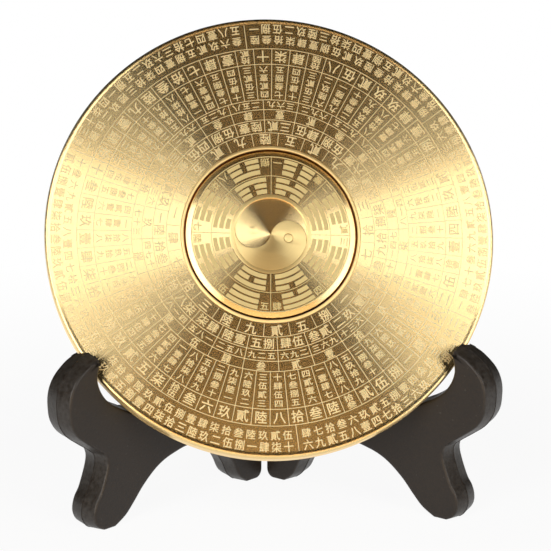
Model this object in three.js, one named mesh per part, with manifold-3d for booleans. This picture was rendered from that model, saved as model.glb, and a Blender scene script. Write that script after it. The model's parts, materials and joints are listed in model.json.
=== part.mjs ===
// Feng shui compass: a turned brass dial plate with a centre dial that spins on a small ball bearing,
// standing on a folding stand of two moulded boards joined by a hinge pin.
// Millimetres, +Z up. The front of the dial plate faces -Y and leans back.

import * as THREE from "three";
import { mergeVertices } from "three/addons/utils/BufferGeometryUtils.js";
import { ConvexGeometry } from "three/addons/geometries/ConvexGeometry.js";
import Module from "manifold-3d";

const wasm = await Module();
wasm.setup();

const QUARTER_TURN = Math.PI / 2;
const FULL_TURN = Math.PI * 2;

// Pose of the dial plate on its stand
const PLATE_LEAN = THREE.MathUtils.degToRad(25.72);
const PLATE_CENTRE_HEIGHT = 93.8;

// Dial plate
const PLATE_RADIUS = 75;
const PLATE_THICKNESS = 8;
const PLATE_BACK_CHAMFER = 0.6;
const LIP_RISE = 0.35;
const LIP_WIDTH = 0.75;
const LIP_CHAMFER = 0.5;
const LIP_SLOPE_WIDTH = 0.4;
const BEAD_RISE = 0.35;
const BEAD_WIDTH = 0.9;
const BEAD_SLOPE_WIDTH = 0.2;
const POCKET_RADIUS = 29.05;
const POCKET_DEPTH = 3;

// Centre dial
const DIAL_GAP = 0.7;
const DIAL_THICKNESS = 2.6;
const DIAL_BEVEL_WIDTH = 1.75;
const DIAL_BEVEL_DROP = 0.55;
const DIAL_BACK_CHAMFER = 0.4;
const TAIJI_RADIUS = 12;
const TAIJI_RIM_GAP = 0.3;
const TAIJI_DEPTH = 0.6;
const TAIJI_ROOT_SHARE = 0.5;
const TAIJI_EYE_RADIUS = 1.5;
const TAIJI_TURN = THREE.MathUtils.degToRad(-14.4);

// Ball bearing
const BEARING_BORE_RADIUS = 3;
const BEARING_OUTER_RADIUS = 6;
const BEARING_WIDTH = 3;
const BEARING_FIT = 0.05;
const RACE_WALL = 1;
const RACE_CHAMFER = 0.2;
const BALL_RADIUS = 0.8;
const BALL_PLAY = 0.06;
const BALL_COUNT = 8;
const CAGE_WALL = 0.6;
const CAGE_WIDTH = 2.3;
const CAGE_PLAY = 0.12;
const SEAT_LEDGE_THICKNESS = 0.55;
const SEAT_LEDGE_WIDTH = 0.85;
const STACK_GAP = 0.05;

// Spindle and the screw that holds the centre dial in
const SPINDLE_HOLE_DEPTH = 1.4;
const SPINDLE_FLANGE_WIDTH = 0.9;
const SPINDLE_BORE_RADIUS = 1.1;
const SPINDLE_BORE_DEPTH = 3.2;
const DIAL_SCREW_SHANK_RADIUS = 1;
const DIAL_SCREW_SHANK_LENGTH = 2.8;
const DIAL_SCREW_HEAD_RADIUS = 3.7;
const DIAL_SCREW_HEAD_THICKNESS = 0.7;

// Bearing cover and its screws
const COVER_RADIUS = 11;
const COVER_THICKNESS = 0.9;
const COVER_FIT = 0.1;
const COVER_HOLE_PLAY = 0.3;
const COVER_SCREW_COUNT = 3;
const COVER_SCREW_CIRCLE_RADIUS = 8.5;
const COVER_SCREW_RADIUS = 0.8;
const COVER_SCREW_LENGTH = 2.2;
const COVER_SCREW_HEAD_RADIUS = 1.5;
const COVER_SCREW_HEAD_DROP = 0.7;
const COVER_SCREW_SINK = 0.12;
const COVER_SCREW_CLEARANCE = 0.1;
const SLOT_WIDTH = 0.4;
const SLOT_DEPTH = 0.35;

// Stand boards
const STAND_HALF_ANGLE = THREE.MathUtils.degToRad(49.5);
const HINGE_BACK = 23.87;
const BOARD_THICKNESS = 12;
const BOARD_DRAFT = 0.9;
const PARTING_LAND = 0.3;
const BOARD_OFFSET = 0.4;
const BOARD_REAR_EDGE = 0.6;
const REST_GAP = 0.3;
const BACKREST_GAP = 0.4;
const HOOK_GAP = 0.45;
const HOOK_REACH = 23.7;
const HOOK_RISE = 20.1;
const FOOT_SPAN = 68.7;
const REAR_FOOT_REACH = 7.8;
const REAR_FOOT_FLAT = 4.4;
const REAR_FOOT_RADIUS = 3.2;
const FRONT_FOOT_FLAT = 4.6;
const FRONT_FOOT_SETBACK = 4.6;
const FRONT_FOOT_HEIGHT = 6.8;
const FRONT_FOOT_NOSE = 6.4;
const ARCH_HEIGHT = 20.2;
const UPRIGHT_DEPTH = 13;
const UPRIGHT_TOP_RISE = 5;
const UPRIGHT_CONTACT_SPAN = 2.6;

// Hinge
const KNUCKLE_COUNT = 5;
const KNUCKLE_LENGTH = 13.2;
const KNUCKLE_GAP = 0.4;
const KNUCKLE_RADIUS = 3.2;
const KNUCKLE_START = 28;
const KNUCKLE_RELIEF = 0.4;
const PIN_RADIUS = 1.5;
const PIN_PLAY = 0.08;
const PIN_HEAD_RADIUS = 2.5;
const PIN_HEAD_THICKNESS = 1.2;
const PIN_HEAD_CHAMFER = 0.3;
const PIN_END_GAP = 0.15;
const PIN_TAIL = 2.2;
const CAP_RADIUS = 2.4;
const CAP_THICKNESS = 1.5;
const CAP_FIT = 0.04;

// Overrun of every cutting tool past the face that it leaves
const CUT_OVERRUN = 1;

// Outline points nearer than this are one point
const SAME_POINT = 0.0001;

// Facet counts
const WIDE_FACETS = 72;
const BEARING_FACETS = 28;
const SMALL_FACETS = 24;
const BALL_FACETS = 10;
const BALL_RINGS = 6;
const ARC_STEPS = 12;
const EYE_STEPS = 16;
const SPLINE_STEPS_PER_POINT = 4;

// Materials
function metal(colour, roughness) {
  return new THREE.MeshStandardMaterial({ color: colour, roughness, metalness: 1 });
}
const brass = metal(0xd9b86a, 0.28);
const steel = metal(0xb9bcc0, 0.3);
const darkSteel = metal(0x6f7276, 0.4);
const blackPlastic = new THREE.MeshStandardMaterial({ color: 0x2b2725, roughness: 0.45, metalness: 0 });

// Turns a closed geometry so that its faces point out
function facingOut(geometry) {
  const closed = geometry.index ? geometry.clone() : mergeVertices(geometry);
  const place = closed.attributes.position;
  const index = closed.index.array;
  const a = new THREE.Vector3();
  const b = new THREE.Vector3();
  const c = new THREE.Vector3();
  let volume = 0;
  for (let i = 0; i < index.length; i += 3) {
    a.fromBufferAttribute(place, index[i]);
    b.fromBufferAttribute(place, index[i + 1]);
    c.fromBufferAttribute(place, index[i + 2]);
    volume += a.dot(b.cross(c));
  }
  if (volume < 0) {
    for (let i = 0; i < index.length; i += 3) {
      const first = index[i];
      index[i] = index[i + 1];
      index[i + 1] = first;
    }
  }
  return closed;
}

// Makes a manifold solid from a closed geometry
function solid(geometry) {
  const bare = geometry.clone();
  bare.deleteAttribute("normal");
  bare.deleteAttribute("uv");
  const merged = facingOut(mergeVertices(bare));
  return new wasm.Manifold(new wasm.Mesh({
    numProp: 3,
    vertProperties: new Float32Array(merged.attributes.position.array),
    triVerts: new Uint32Array(merged.index.array),
  }));
}

// Makes a geometry from a manifold solid
function geometryOf(body) {
  const mesh = body.getMesh();
  const geometry = new THREE.BufferGeometry();
  geometry.setAttribute("position", new THREE.BufferAttribute(new Float32Array(mesh.vertProperties), 3));
  geometry.setIndex(new THREE.BufferAttribute(new Uint32Array(mesh.triVerts), 1));
  geometry.computeVertexNormals();
  return geometry;
}

// Turns a closed profile of [radius, height] points about the Z axis
function turned(profile, facets) {
  const points = profile.map(([radius, height]) => new THREE.Vector2(radius, height));
  if (profile[0][0] > 0) points.push(points[0].clone());
  return facingOut(new THREE.LatheGeometry(points, facets).rotateX(QUARTER_TURN));
}

// A plain round rod or tool along Z, from one height to another
function rod(radius, low, high, facets) {
  return new THREE.CylinderGeometry(radius, radius, high - low, facets)
    .rotateX(QUARTER_TURN)
    .translate(0, 0, (low + high) / 2);
}

function named(name, geometry, material) {
  const mesh = new THREE.Mesh(geometry, material);
  mesh.name = name;
  return mesh;
}

// Points on a circle about Z
function onCircle(radius, step, count) {
  const angle = QUARTER_TURN + (FULL_TURN * step) / count;
  return [radius * Math.cos(angle), radius * Math.sin(angle)];
}

// Heights along the axis of the dial plate. Zero is the engraved face and the back is negative.
const plateBack = LIP_RISE - PLATE_THICKNESS;
const pocketFloor = -POCKET_DEPTH;
const ledgeBack = pocketFloor - SEAT_LEDGE_THICKNESS;
const bearingFront = ledgeBack - STACK_GAP;
const bearingBack = bearingFront - BEARING_WIDTH;
const bearingMiddle = (bearingFront + bearingBack) / 2;
const coverFloor = plateBack + COVER_THICKNESS + STACK_GAP;
const dialBack = -DIAL_THICKNESS;
const seatRadius = BEARING_OUTER_RADIUS + BEARING_FIT;
const ledgeRadius = BEARING_OUTER_RADIUS - SEAT_LEDGE_WIDTH;
const coverHoleRadius = DIAL_SCREW_HEAD_RADIUS + COVER_HOLE_PLAY;

// Turned brass plate with a raised lip, a bead round the pocket and the bearing seat at the back
function dialPlateGeometry() {
  const lipOuter = PLATE_RADIUS - LIP_CHAMFER;
  const lipInner = lipOuter - LIP_WIDTH;
  const beadInner = POCKET_RADIUS + BEAD_SLOPE_WIDTH;
  const beadOuter = beadInner + BEAD_WIDTH;
  const recessRadius = COVER_RADIUS + COVER_FIT;
  const profile = [
    [ledgeRadius, pocketFloor],
    [POCKET_RADIUS, pocketFloor],
    [POCKET_RADIUS, 0],
    [beadInner, BEAD_RISE],
    [beadOuter, BEAD_RISE],
    [beadOuter + BEAD_SLOPE_WIDTH, 0],
    [lipInner - LIP_SLOPE_WIDTH, 0],
    [lipInner, LIP_RISE],
    [lipOuter, LIP_RISE],
    [PLATE_RADIUS, LIP_RISE - LIP_CHAMFER],
    [PLATE_RADIUS, plateBack + PLATE_BACK_CHAMFER],
    [PLATE_RADIUS - PLATE_BACK_CHAMFER, plateBack],
    [recessRadius, plateBack],
    [recessRadius, coverFloor],
    [seatRadius, coverFloor],
    [seatRadius, ledgeBack],
    [ledgeRadius, ledgeBack],
  ];
  let plate = solid(turned(profile, WIDE_FACETS));
  const holeRadius = COVER_SCREW_RADIUS + COVER_SCREW_CLEARANCE;
  const holeEnd = plateBack + COVER_SCREW_SINK + COVER_SCREW_HEAD_DROP + COVER_SCREW_LENGTH
    + COVER_SCREW_CLEARANCE;
  for (let i = 0; i < COVER_SCREW_COUNT; i += 1) {
    const [x, y] = onCircle(COVER_SCREW_CIRCLE_RADIUS, i, COVER_SCREW_COUNT);
    const hole = rod(holeRadius, plateBack - CUT_OVERRUN, holeEnd, SMALL_FACETS).translate(x, y, 0);
    plate = plate.subtract(solid(hole));
  }
  return geometryOf(plate);
}

// Makes an outline from points, leaving out any that repeat the one before
function outlineOf(points) {
  const kept = points.filter((point, i) => point.distanceTo(points.at(i - 1)) > SAME_POINT);
  return new THREE.Shape(kept);
}

// Outline of the raised half of the taiji figure, with a hole for its sunk eye
function raisedHalf() {
  const eyeOffset = TAIJI_RADIUS / 2;
  const edge = new THREE.Path();
  edge.absarc(0, 0, TAIJI_RADIUS, 0, -Math.PI, true);
  edge.absarc(-eyeOffset, 0, eyeOffset, -Math.PI, 0, false);
  edge.absarc(eyeOffset, 0, eyeOffset, Math.PI, 0, true);
  const eye = new THREE.Path();
  eye.absarc(eyeOffset, 0, TAIJI_EYE_RADIUS, 0, FULL_TURN, false);
  const half = outlineOf(edge.getPoints(ARC_STEPS));
  half.holes.push(outlineOf(eye.getPoints(EYE_STEPS / 2)));
  return half;
}

// Bevelled centre dial with a sunk round field, the raised taiji half and its raised eye
function centreDialGeometry() {
  const dialRadius = POCKET_RADIUS - DIAL_GAP;
  const sunkRadius = TAIJI_RADIUS + TAIJI_RIM_GAP;
  const stemHoleRadius = BEARING_BORE_RADIUS + BEARING_FIT;
  const stemHoleTop = dialBack + SPINDLE_HOLE_DEPTH;
  const profile = [
    [0, -TAIJI_DEPTH],
    [sunkRadius, -TAIJI_DEPTH],
    [sunkRadius, 0],
    [dialRadius - DIAL_BEVEL_WIDTH, 0],
    [dialRadius, -DIAL_BEVEL_DROP],
    [dialRadius, dialBack + DIAL_BACK_CHAMFER],
    [dialRadius - DIAL_BACK_CHAMFER, dialBack],
    [stemHoleRadius, dialBack],
    [stemHoleRadius, stemHoleTop],
    [0, stemHoleTop],
  ];
  const root = TAIJI_ROOT_SHARE * TAIJI_DEPTH;
  const raised = new THREE.ExtrudeGeometry(raisedHalf(), {
    depth: TAIJI_DEPTH + root,
    bevelEnabled: false,
  }).translate(0, 0, -TAIJI_DEPTH - root);
  const eye = rod(TAIJI_EYE_RADIUS, -TAIJI_DEPTH - root, 0, EYE_STEPS).translate(-TAIJI_RADIUS / 2, 0, 0);
  const dial = solid(turned(profile, WIDE_FACETS));
  const figure = solid(raised.rotateZ(TAIJI_TURN)).add(solid(eye.rotateZ(TAIJI_TURN)));
  return geometryOf(dial.add(figure));
}

// Stem of the centre dial, with a flange between the dial and the inner race and a tapped end
function spindleGeometry() {
  const stemTop = dialBack + SPINDLE_HOLE_DEPTH - STACK_GAP;
  const stemRadius = BEARING_BORE_RADIUS - BEARING_FIT;
  const flangeTop = dialBack - STACK_GAP;
  const flangeBack = bearingFront + STACK_GAP;
  return turned([
    [0, stemTop],
    [stemRadius, stemTop],
    [stemRadius, flangeTop],
    [stemRadius + SPINDLE_FLANGE_WIDTH, flangeTop],
    [stemRadius + SPINDLE_FLANGE_WIDTH, flangeBack],
    [stemRadius, flangeBack],
    [stemRadius, bearingBack],
    [SPINDLE_BORE_RADIUS, bearingBack],
    [SPINDLE_BORE_RADIUS, bearingBack + SPINDLE_BORE_DEPTH],
    [0, bearingBack + SPINDLE_BORE_DEPTH],
  ], BEARING_FACETS);
}

// Ring of the bearing with a groove for the balls. Side is 1 for the inner ring and -1 for the outer.
function raceGeometry(side) {
  const pitchRadius = (BEARING_BORE_RADIUS + BEARING_OUTER_RADIUS) / 2;
  const wallRadius = side > 0 ? BEARING_BORE_RADIUS : BEARING_OUTER_RADIUS;
  const trackRadius = wallRadius + side * RACE_WALL;
  const grooveRadius = BALL_RADIUS + BALL_PLAY;
  const profile = [
    [wallRadius, bearingFront - RACE_CHAMFER],
    [wallRadius + side * RACE_CHAMFER, bearingFront],
    [trackRadius, bearingFront],
  ];
  const reach = Math.abs(pitchRadius - trackRadius);
  const grooveHalf = Math.acos(reach / grooveRadius);
  const steps = BALL_RINGS / 2;
  for (let i = 0; i <= steps; i += 1) {
    const angle = grooveHalf - (2 * grooveHalf * i) / steps;
    profile.push([
      pitchRadius - side * grooveRadius * Math.cos(angle),
      bearingMiddle + grooveRadius * Math.sin(angle),
    ]);
  }
  profile.push([trackRadius, bearingBack]);
  profile.push([wallRadius + side * RACE_CHAMFER, bearingBack]);
  profile.push([wallRadius, bearingBack + RACE_CHAMFER]);
  return turned(profile, BEARING_FACETS);
}

function ballPlace(step) {
  const pitchRadius = (BEARING_BORE_RADIUS + BEARING_OUTER_RADIUS) / 2;
  return [...onCircle(pitchRadius, step, BALL_COUNT), bearingMiddle];
}

// Ring that keeps the balls apart
function cageGeometry() {
  const pitchRadius = (BEARING_BORE_RADIUS + BEARING_OUTER_RADIUS) / 2;
  const inner = pitchRadius - CAGE_WALL / 2;
  const outer = pitchRadius + CAGE_WALL / 2;
  const front = bearingMiddle + CAGE_WIDTH / 2;
  const back = bearingMiddle - CAGE_WIDTH / 2;
  let cage = solid(turned([[inner, back], [outer, back], [outer, front], [inner, front]], BEARING_FACETS));
  for (let i = 0; i < BALL_COUNT; i += 1) {
    const pocket = new THREE.SphereGeometry(BALL_RADIUS + CAGE_PLAY, BALL_FACETS, BALL_RINGS);
    cage = cage.subtract(solid(pocket.translate(...ballPlace(i))));
  }
  return geometryOf(cage);
}

// Cuts a screwdriver slot across the back of a screw head
function slotted(geometry, headRadius, headBack) {
  const slot = new THREE.BoxGeometry(2 * (headRadius + CUT_OVERRUN), SLOT_WIDTH, SLOT_DEPTH + CUT_OVERRUN)
    .translate(0, 0, headBack + (SLOT_DEPTH - CUT_OVERRUN) / 2);
  return geometryOf(solid(geometry).subtract(solid(slot)));
}

// Flat headed screw in the end of the spindle
function dialScrewGeometry() {
  const underHead = bearingBack - STACK_GAP;
  const headBack = underHead - DIAL_SCREW_HEAD_THICKNESS;
  const shankTop = underHead + DIAL_SCREW_SHANK_LENGTH;
  const screw = turned([
    [0, shankTop],
    [DIAL_SCREW_SHANK_RADIUS, shankTop],
    [DIAL_SCREW_SHANK_RADIUS, underHead],
    [DIAL_SCREW_HEAD_RADIUS, underHead],
    [DIAL_SCREW_HEAD_RADIUS, headBack],
    [0, headBack],
  ], BEARING_FACETS);
  return slotted(screw, DIAL_SCREW_HEAD_RADIUS, headBack);
}

// Round cover over the bearing, with countersunk screw holes
function coverGeometry() {
  const front = coverFloor - STACK_GAP;
  let cover = solid(turned([
    [coverHoleRadius, plateBack],
    [COVER_RADIUS, plateBack],
    [COVER_RADIUS, front],
    [coverHoleRadius, front],
  ], WIDE_FACETS / 2));
  const holeRadius = COVER_SCREW_RADIUS + COVER_SCREW_CLEARANCE;
  const headRadius = COVER_SCREW_HEAD_RADIUS + COVER_SCREW_CLEARANCE;
  const headBack = plateBack + COVER_SCREW_SINK;
  for (let i = 0; i < COVER_SCREW_COUNT; i += 1) {
    const [x, y] = onCircle(COVER_SCREW_CIRCLE_RADIUS, i, COVER_SCREW_COUNT);
    const hole = turned([
      [0, plateBack - CUT_OVERRUN],
      [headRadius, plateBack - CUT_OVERRUN],
      [headRadius, headBack],
      [holeRadius, headBack + COVER_SCREW_HEAD_DROP],
      [holeRadius, front + CUT_OVERRUN],
      [0, front + CUT_OVERRUN],
    ], SMALL_FACETS).translate(x, y, 0);
    cover = cover.subtract(solid(hole));
  }
  return geometryOf(cover);
}

// Countersunk screw of the bearing cover
function coverScrewGeometry() {
  const headBack = plateBack + COVER_SCREW_SINK;
  const headTop = headBack + COVER_SCREW_HEAD_DROP;
  const shankTop = headTop + COVER_SCREW_LENGTH;
  const screw = turned([
    [0, headBack],
    [COVER_SCREW_HEAD_RADIUS, headBack],
    [COVER_SCREW_RADIUS, headTop],
    [COVER_SCREW_RADIUS, shankTop],
    [0, shankTop],
  ], SMALL_FACETS);
  return slotted(screw, COVER_SCREW_HEAD_RADIUS, headBack);
}

// The compass group holds the plate and all that spins in it, at its lean
const compass = new THREE.Group();
compass.position.set(0, 0, PLATE_CENTRE_HEIGHT);
compass.rotation.x = QUARTER_TURN - PLATE_LEAN;
compass.add(named("dial_plate", dialPlateGeometry(), brass));
compass.add(named("centre_dial", centreDialGeometry(), brass));
compass.add(named("dial_spindle", spindleGeometry(), steel));
compass.add(named("bearing_inner_ring", raceGeometry(1), steel));
compass.add(named("bearing_outer_ring", raceGeometry(-1), steel));
compass.add(named("bearing_cage", cageGeometry(), darkSteel));
for (let i = 0; i < BALL_COUNT; i += 1) {
  const ball = named(`bearing_ball_${i + 1}`, new THREE.SphereGeometry(BALL_RADIUS, BALL_FACETS, BALL_RINGS), steel);
  ball.position.set(...ballPlace(i));
  compass.add(ball);
}
compass.add(named("dial_screw", dialScrewGeometry(), darkSteel));
compass.add(named("bearing_cover", coverGeometry(), brass));
for (let i = 0; i < COVER_SCREW_COUNT; i += 1) {
  const screw = named(`cover_screw_${i + 1}`, coverScrewGeometry(), darkSteel);
  screw.position.set(...onCircle(COVER_SCREW_CIRCLE_RADIUS, i, COVER_SCREW_COUNT), 0);
  compass.add(screw);
}
compass.updateMatrixWorld(true);

// A board is drawn in its own plane: first the distance out from the hinge axis, then the height.
// Where a circle about the plate's axis, set back from the lip, crosses the board's inner face:
function rimCrossing(radius, setBack) {
  const along = new THREE.Vector3(Math.sin(STAND_HALF_ANGLE), -Math.cos(STAND_HALF_ANGLE), 0);
  const outward = new THREE.Vector3(Math.cos(STAND_HALF_ANGLE), Math.sin(STAND_HALF_ANGLE), 0);
  const hinge = new THREE.Vector3(0, HINGE_BACK, 0);
  const faceDistance = outward.dot(hinge) + BOARD_OFFSET;
  const centre = new THREE.Vector3(0, 0, LIP_RISE - setBack).applyMatrix4(compass.matrixWorld);
  const planeUp = new THREE.Vector3(0, Math.sin(PLATE_LEAN), Math.cos(PLATE_LEAN));
  const sideways = radius * outward.x;
  const upward = radius * outward.dot(planeUp);
  const needed = faceDistance - outward.dot(centre);
  const swing = Math.asin(needed / Math.hypot(sideways, upward)) + Math.atan2(upward, sideways);
  const point = centre.clone()
    .add(new THREE.Vector3(radius * Math.sin(swing), 0, 0))
    .addScaledVector(planeUp, -radius * Math.cos(swing));
  return [along.dot(point.clone().sub(hinge)), point.z];
}

const seat = rimCrossing(PLATE_RADIUS, PLATE_THICKNESS);

// Slope and height of the plate's back where it passes the board's inner face, seen in that plane
const backSlope = Math.cos(STAND_HALF_ANGLE) / Math.tan(PLATE_LEAN);
function backHeight(out) {
  return seat[1] + (seat[0] - out) * backSlope;
}

// Hook, waist and notch, from the waist up round the hook and down to the notch floor.
// Shares of the hook's reach and rise, measured from the seat of the plate.
const HOOK_OUTER_SHARES = [
  [0.346, -0.91], [0.363, -0.711], [0.473, -0.592], [0.658, -0.438], [0.857, -0.254], [0.97, -0.04],
  [1, 0.194], [0.992, 0.393], [0.937, 0.572], [0.84, 0.716], [0.684, 0.856], [0.561, 0.925], [0.473, 0.965],
];
const HOOK_INNER_SHARES = [
  [0.473, 0.965], [0.456, 0.89], [0.468, 0.811], [0.489, 0.716], [0.494, 0.617], [0.473, 0.507],
  [0.426, 0.385], [0.346, 0.254], [0.232, 0.139], [0.101, 0.045],
];
const NOTCH_FLOOR_SHARES = [[-0.057, -0.05], [-0.169, -0.095], [-0.338, -0.134]];

// Arm and upright behind the plate, as shares of the seat's distance and of the upright's contact height
const ARM_SHARES = [
  [0.75, 0.335], [0.625, 0.352], [0.516, 0.402], [0.43, 0.484], [0.367, 0.595], [0.317, 0.725], [0.278, 0.845],
];

// Arch under the board, as shares of the foot span and of the arch height
const ARCH_SHARES = [
  [0.055, 0.149], [0.105, 0.46], [0.2, 0.82], [0.378, 1], [0.514, 0.94], [0.616, 0.807],
  [0.709, 0.564], [0.779, 0.307], [0.833, 0.129],
];

// Front of the front foot, from its flat up to the waist, as shares of the nose and the foot height
const NOSE_SHARES = [[0.42, 0.22], [0.66, 0.59], [0.69, 1], [0.53, 1.47], [0.2, 1.96]];

function curveThrough(points) {
  const places = points.map(([out, up]) => new THREE.Vector2(out, up));
  return new THREE.SplineCurve(places).getPoints((points.length - 1) * SPLINE_STEPS_PER_POINT);
}

function hookPoint([outShare, upShare]) {
  return [seat[0] + outShare * HOOK_REACH, seat[1] + upShare * HOOK_RISE];
}

// Outline of a board's flat face, starting at the rear foot and going round under the arch
function boardOutline() {
  const rearFlatEnd = REAR_FOOT_REACH;
  const rearFlatStart = rearFlatEnd - REAR_FOOT_FLAT;
  const frontFoot = REAR_FOOT_REACH + FOOT_SPAN;
  const frontFlatEnd = frontFoot - FRONT_FOOT_SETBACK / 2;
  const frontFlatStart = frontFlatEnd - FRONT_FOOT_FLAT;
  const contactTop = backHeight(UPRIGHT_DEPTH) - BACKREST_GAP / Math.sin(PLATE_LEAN);
  const contactDrop = UPRIGHT_CONTACT_SPAN * backSlope;
  const arch = curveThrough([
    [rearFlatEnd, 0],
    ...ARCH_SHARES.map(([out, up]) => [REAR_FOOT_REACH + out * FOOT_SPAN, up * ARCH_HEIGHT]),
    [frontFlatStart, 0],
  ]);
  const hookOuter = HOOK_OUTER_SHARES.map(hookPoint);
  const front = curveThrough([
    [frontFlatEnd, 0],
    ...NOSE_SHARES.map(([out, up]) => [frontFlatEnd + out * FRONT_FOOT_NOSE, up * FRONT_FOOT_HEIGHT]),
    ...hookOuter,
  ]);
  const inner = curveThrough([
    ...HOOK_INNER_SHARES.map(hookPoint),
    [seat[0], seat[1] - REST_GAP],
    ...NOTCH_FLOOR_SHARES.map(hookPoint),
    ...ARM_SHARES.map(([out, up]) => [out * seat[0], up * contactTop]),
    [UPRIGHT_DEPTH + UPRIGHT_CONTACT_SPAN, contactTop - contactDrop],
    [UPRIGHT_DEPTH, contactTop],
    [UPRIGHT_DEPTH - UPRIGHT_CONTACT_SPAN, contactTop + contactDrop * (1 - BOARD_DRAFT / UPRIGHT_CONTACT_SPAN)],
    [UPRIGHT_DEPTH / 2, contactTop + UPRIGHT_TOP_RISE],
    [BOARD_REAR_EDGE + UPRIGHT_CONTACT_SPAN, contactTop + UPRIGHT_TOP_RISE - BOARD_DRAFT],
    [BOARD_REAR_EDGE, contactTop],
  ]);
  const corner = new THREE.Path();
  corner.absellipse(
    rearFlatStart, REAR_FOOT_RADIUS, rearFlatStart - BOARD_REAR_EDGE, REAR_FOOT_RADIUS,
    Math.PI, Math.PI + QUARTER_TURN, false,
  );
  return outlineOf([...corner.getPoints(EYE_STEPS / 2), ...arch, ...front, ...inner]);
}

// Space that the plate takes as it is lifted out of the notches, with the gap that the hooks keep to it
function liftedPlateSpace() {
  const liftHeight = 2 * HOOK_RISE;
  const radius = PLATE_RADIUS + HOOK_GAP;
  const points = [];
  for (let i = 0; i < WIDE_FACETS; i += 1) {
    const [x, y] = onCircle(radius, i, WIDE_FACETS);
    for (const z of [LIP_RISE + HOOK_GAP, plateBack - REST_GAP]) {
      const low = new THREE.Vector3(x, y, z).applyMatrix4(compass.matrixWorld);
      points.push(low, low.clone().setZ(low.z + liftHeight));
    }
  }
  return new ConvexGeometry(points);
}

const knucklePitch = KNUCKLE_LENGTH + KNUCKLE_GAP;
const hingeTop = KNUCKLE_START + KNUCKLE_COUNT * knucklePitch - KNUCKLE_GAP;

// Places a board's own frame in the stand. Side is 1 for the right board and -1 for the left.
function placeBoard(object, side) {
  object.position.set(0, HINGE_BACK, 0);
  object.rotation.z = side * (STAND_HALF_ANGLE - QUARTER_TURN);
  object.updateMatrixWorld(true);
}

// One moulded board with its share of the hinge knuckles, drawn as the right board
function boardSolid(firstKnuckle) {
  const halfThickness = (BOARD_THICKNESS - PARTING_LAND) / 2;
  const slab = new THREE.ExtrudeGeometry(boardOutline(), {
    depth: PARTING_LAND,
    bevelEnabled: true,
    bevelThickness: halfThickness,
    bevelSize: BOARD_DRAFT,
    bevelSegments: 1,
  });
  slab.translate(0, 0, halfThickness - BOARD_THICKNESS - BOARD_OFFSET).rotateX(QUARTER_TURN);
  let board = solid(slab);
  const relief = KNUCKLE_RADIUS + KNUCKLE_RELIEF;
  const reliefLow = KNUCKLE_START - PIN_TAIL - KNUCKLE_RELIEF;
  const reliefHigh = hingeTop + PIN_TAIL + KNUCKLE_RELIEF;
  board = board.subtract(solid(rod(relief, reliefLow, reliefHigh, BEARING_FACETS)));
  for (let i = firstKnuckle; i < KNUCKLE_COUNT; i += 2) {
    const low = KNUCKLE_START + i * knucklePitch;
    board = board.add(knuckleSolid(low));
  }
  const bore = rod(PIN_RADIUS + PIN_PLAY, reliefLow, reliefHigh, BEARING_FACETS);
  board = board.subtract(solid(bore));
  const groundDepth = BOARD_DRAFT + CUT_OVERRUN;
  const groundReach = REAR_FOOT_REACH + FOOT_SPAN + HOOK_REACH;
  const ground = new THREE.BoxGeometry(2 * groundReach, 2 * groundReach, groundDepth)
    .translate(0, 0, -groundDepth / 2);
  board = board.subtract(solid(ground));
  const frame = new THREE.Object3D();
  placeBoard(frame, 1);
  const space = liftedPlateSpace().applyMatrix4(frame.matrixWorld.clone().invert());
  return board.subtract(solid(space));
}

// Round knuckle with a web that carries it on the board
function knuckleSolid(low) {
  const high = low + KNUCKLE_LENGTH;
  const webReach = 2 * KNUCKLE_RADIUS;
  const web = new THREE.BoxGeometry(webReach, KNUCKLE_RADIUS, KNUCKLE_LENGTH)
    .translate(webReach / 2, BOARD_OFFSET + KNUCKLE_RADIUS / 2, (low + high) / 2);
  return solid(rod(KNUCKLE_RADIUS, low, high, BEARING_FACETS)).add(solid(web));
}

function boardMesh(name, side, firstKnuckle) {
  const geometry = geometryOf(boardSolid(firstKnuckle));
  if (side < 0) geometry.scale(-1, 1, 1);
  const mesh = named(name, facingOut(geometry), blackPlastic);
  placeBoard(mesh, side);
  return mesh;
}

// Headed pin of the hinge
function hingePinGeometry() {
  const headSeat = hingeTop + PIN_END_GAP;
  const headTop = headSeat + PIN_HEAD_THICKNESS;
  return turned([
    [0, KNUCKLE_START - PIN_TAIL],
    [PIN_RADIUS, KNUCKLE_START - PIN_TAIL],
    [PIN_RADIUS, headSeat],
    [PIN_HEAD_RADIUS, headSeat],
    [PIN_HEAD_RADIUS, headTop - PIN_HEAD_CHAMFER],
    [PIN_HEAD_RADIUS - PIN_HEAD_CHAMFER, headTop],
    [0, headTop],
  ], SMALL_FACETS);
}

// Push-on ring that keeps the pin in
function pinCapGeometry() {
  const top = KNUCKLE_START - PIN_END_GAP;
  const inner = PIN_RADIUS + CAP_FIT;
  return turned([
    [inner, top - CAP_THICKNESS],
    [CAP_RADIUS - PIN_HEAD_CHAMFER, top - CAP_THICKNESS],
    [CAP_RADIUS, top - CAP_THICKNESS + PIN_HEAD_CHAMFER],
    [CAP_RADIUS, top],
    [inner, top],
  ], SMALL_FACETS);
}

const stand = new THREE.Group();
stand.add(boardMesh("left_board", -1, 0));
stand.add(boardMesh("right_board", 1, 1));
for (const [name, geometry] of [["hinge_pin", hingePinGeometry()], ["pin_cap", pinCapGeometry()]]) {
  const piece = named(name, geometry, steel);
  piece.position.set(0, HINGE_BACK, 0);
  stand.add(piece);
}

// The whole part, with its origin under the middle of its footprint
const group = new THREE.Group();
group.add(compass, stand);
const box = new THREE.Box3().setFromObject(group, true);
group.position.y = -(box.min.y + box.max.y) / 2;
group.updateMatrixWorld(true);

export default group;
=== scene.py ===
"""Looks of a brass feng shui compass that leans in a black folding stand.

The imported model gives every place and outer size. The plate and the centre dial are drawn in their own
frame: X to the right, Y up along the plate and Z out of the engraved face, in metres.
"""

import json
import math

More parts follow.
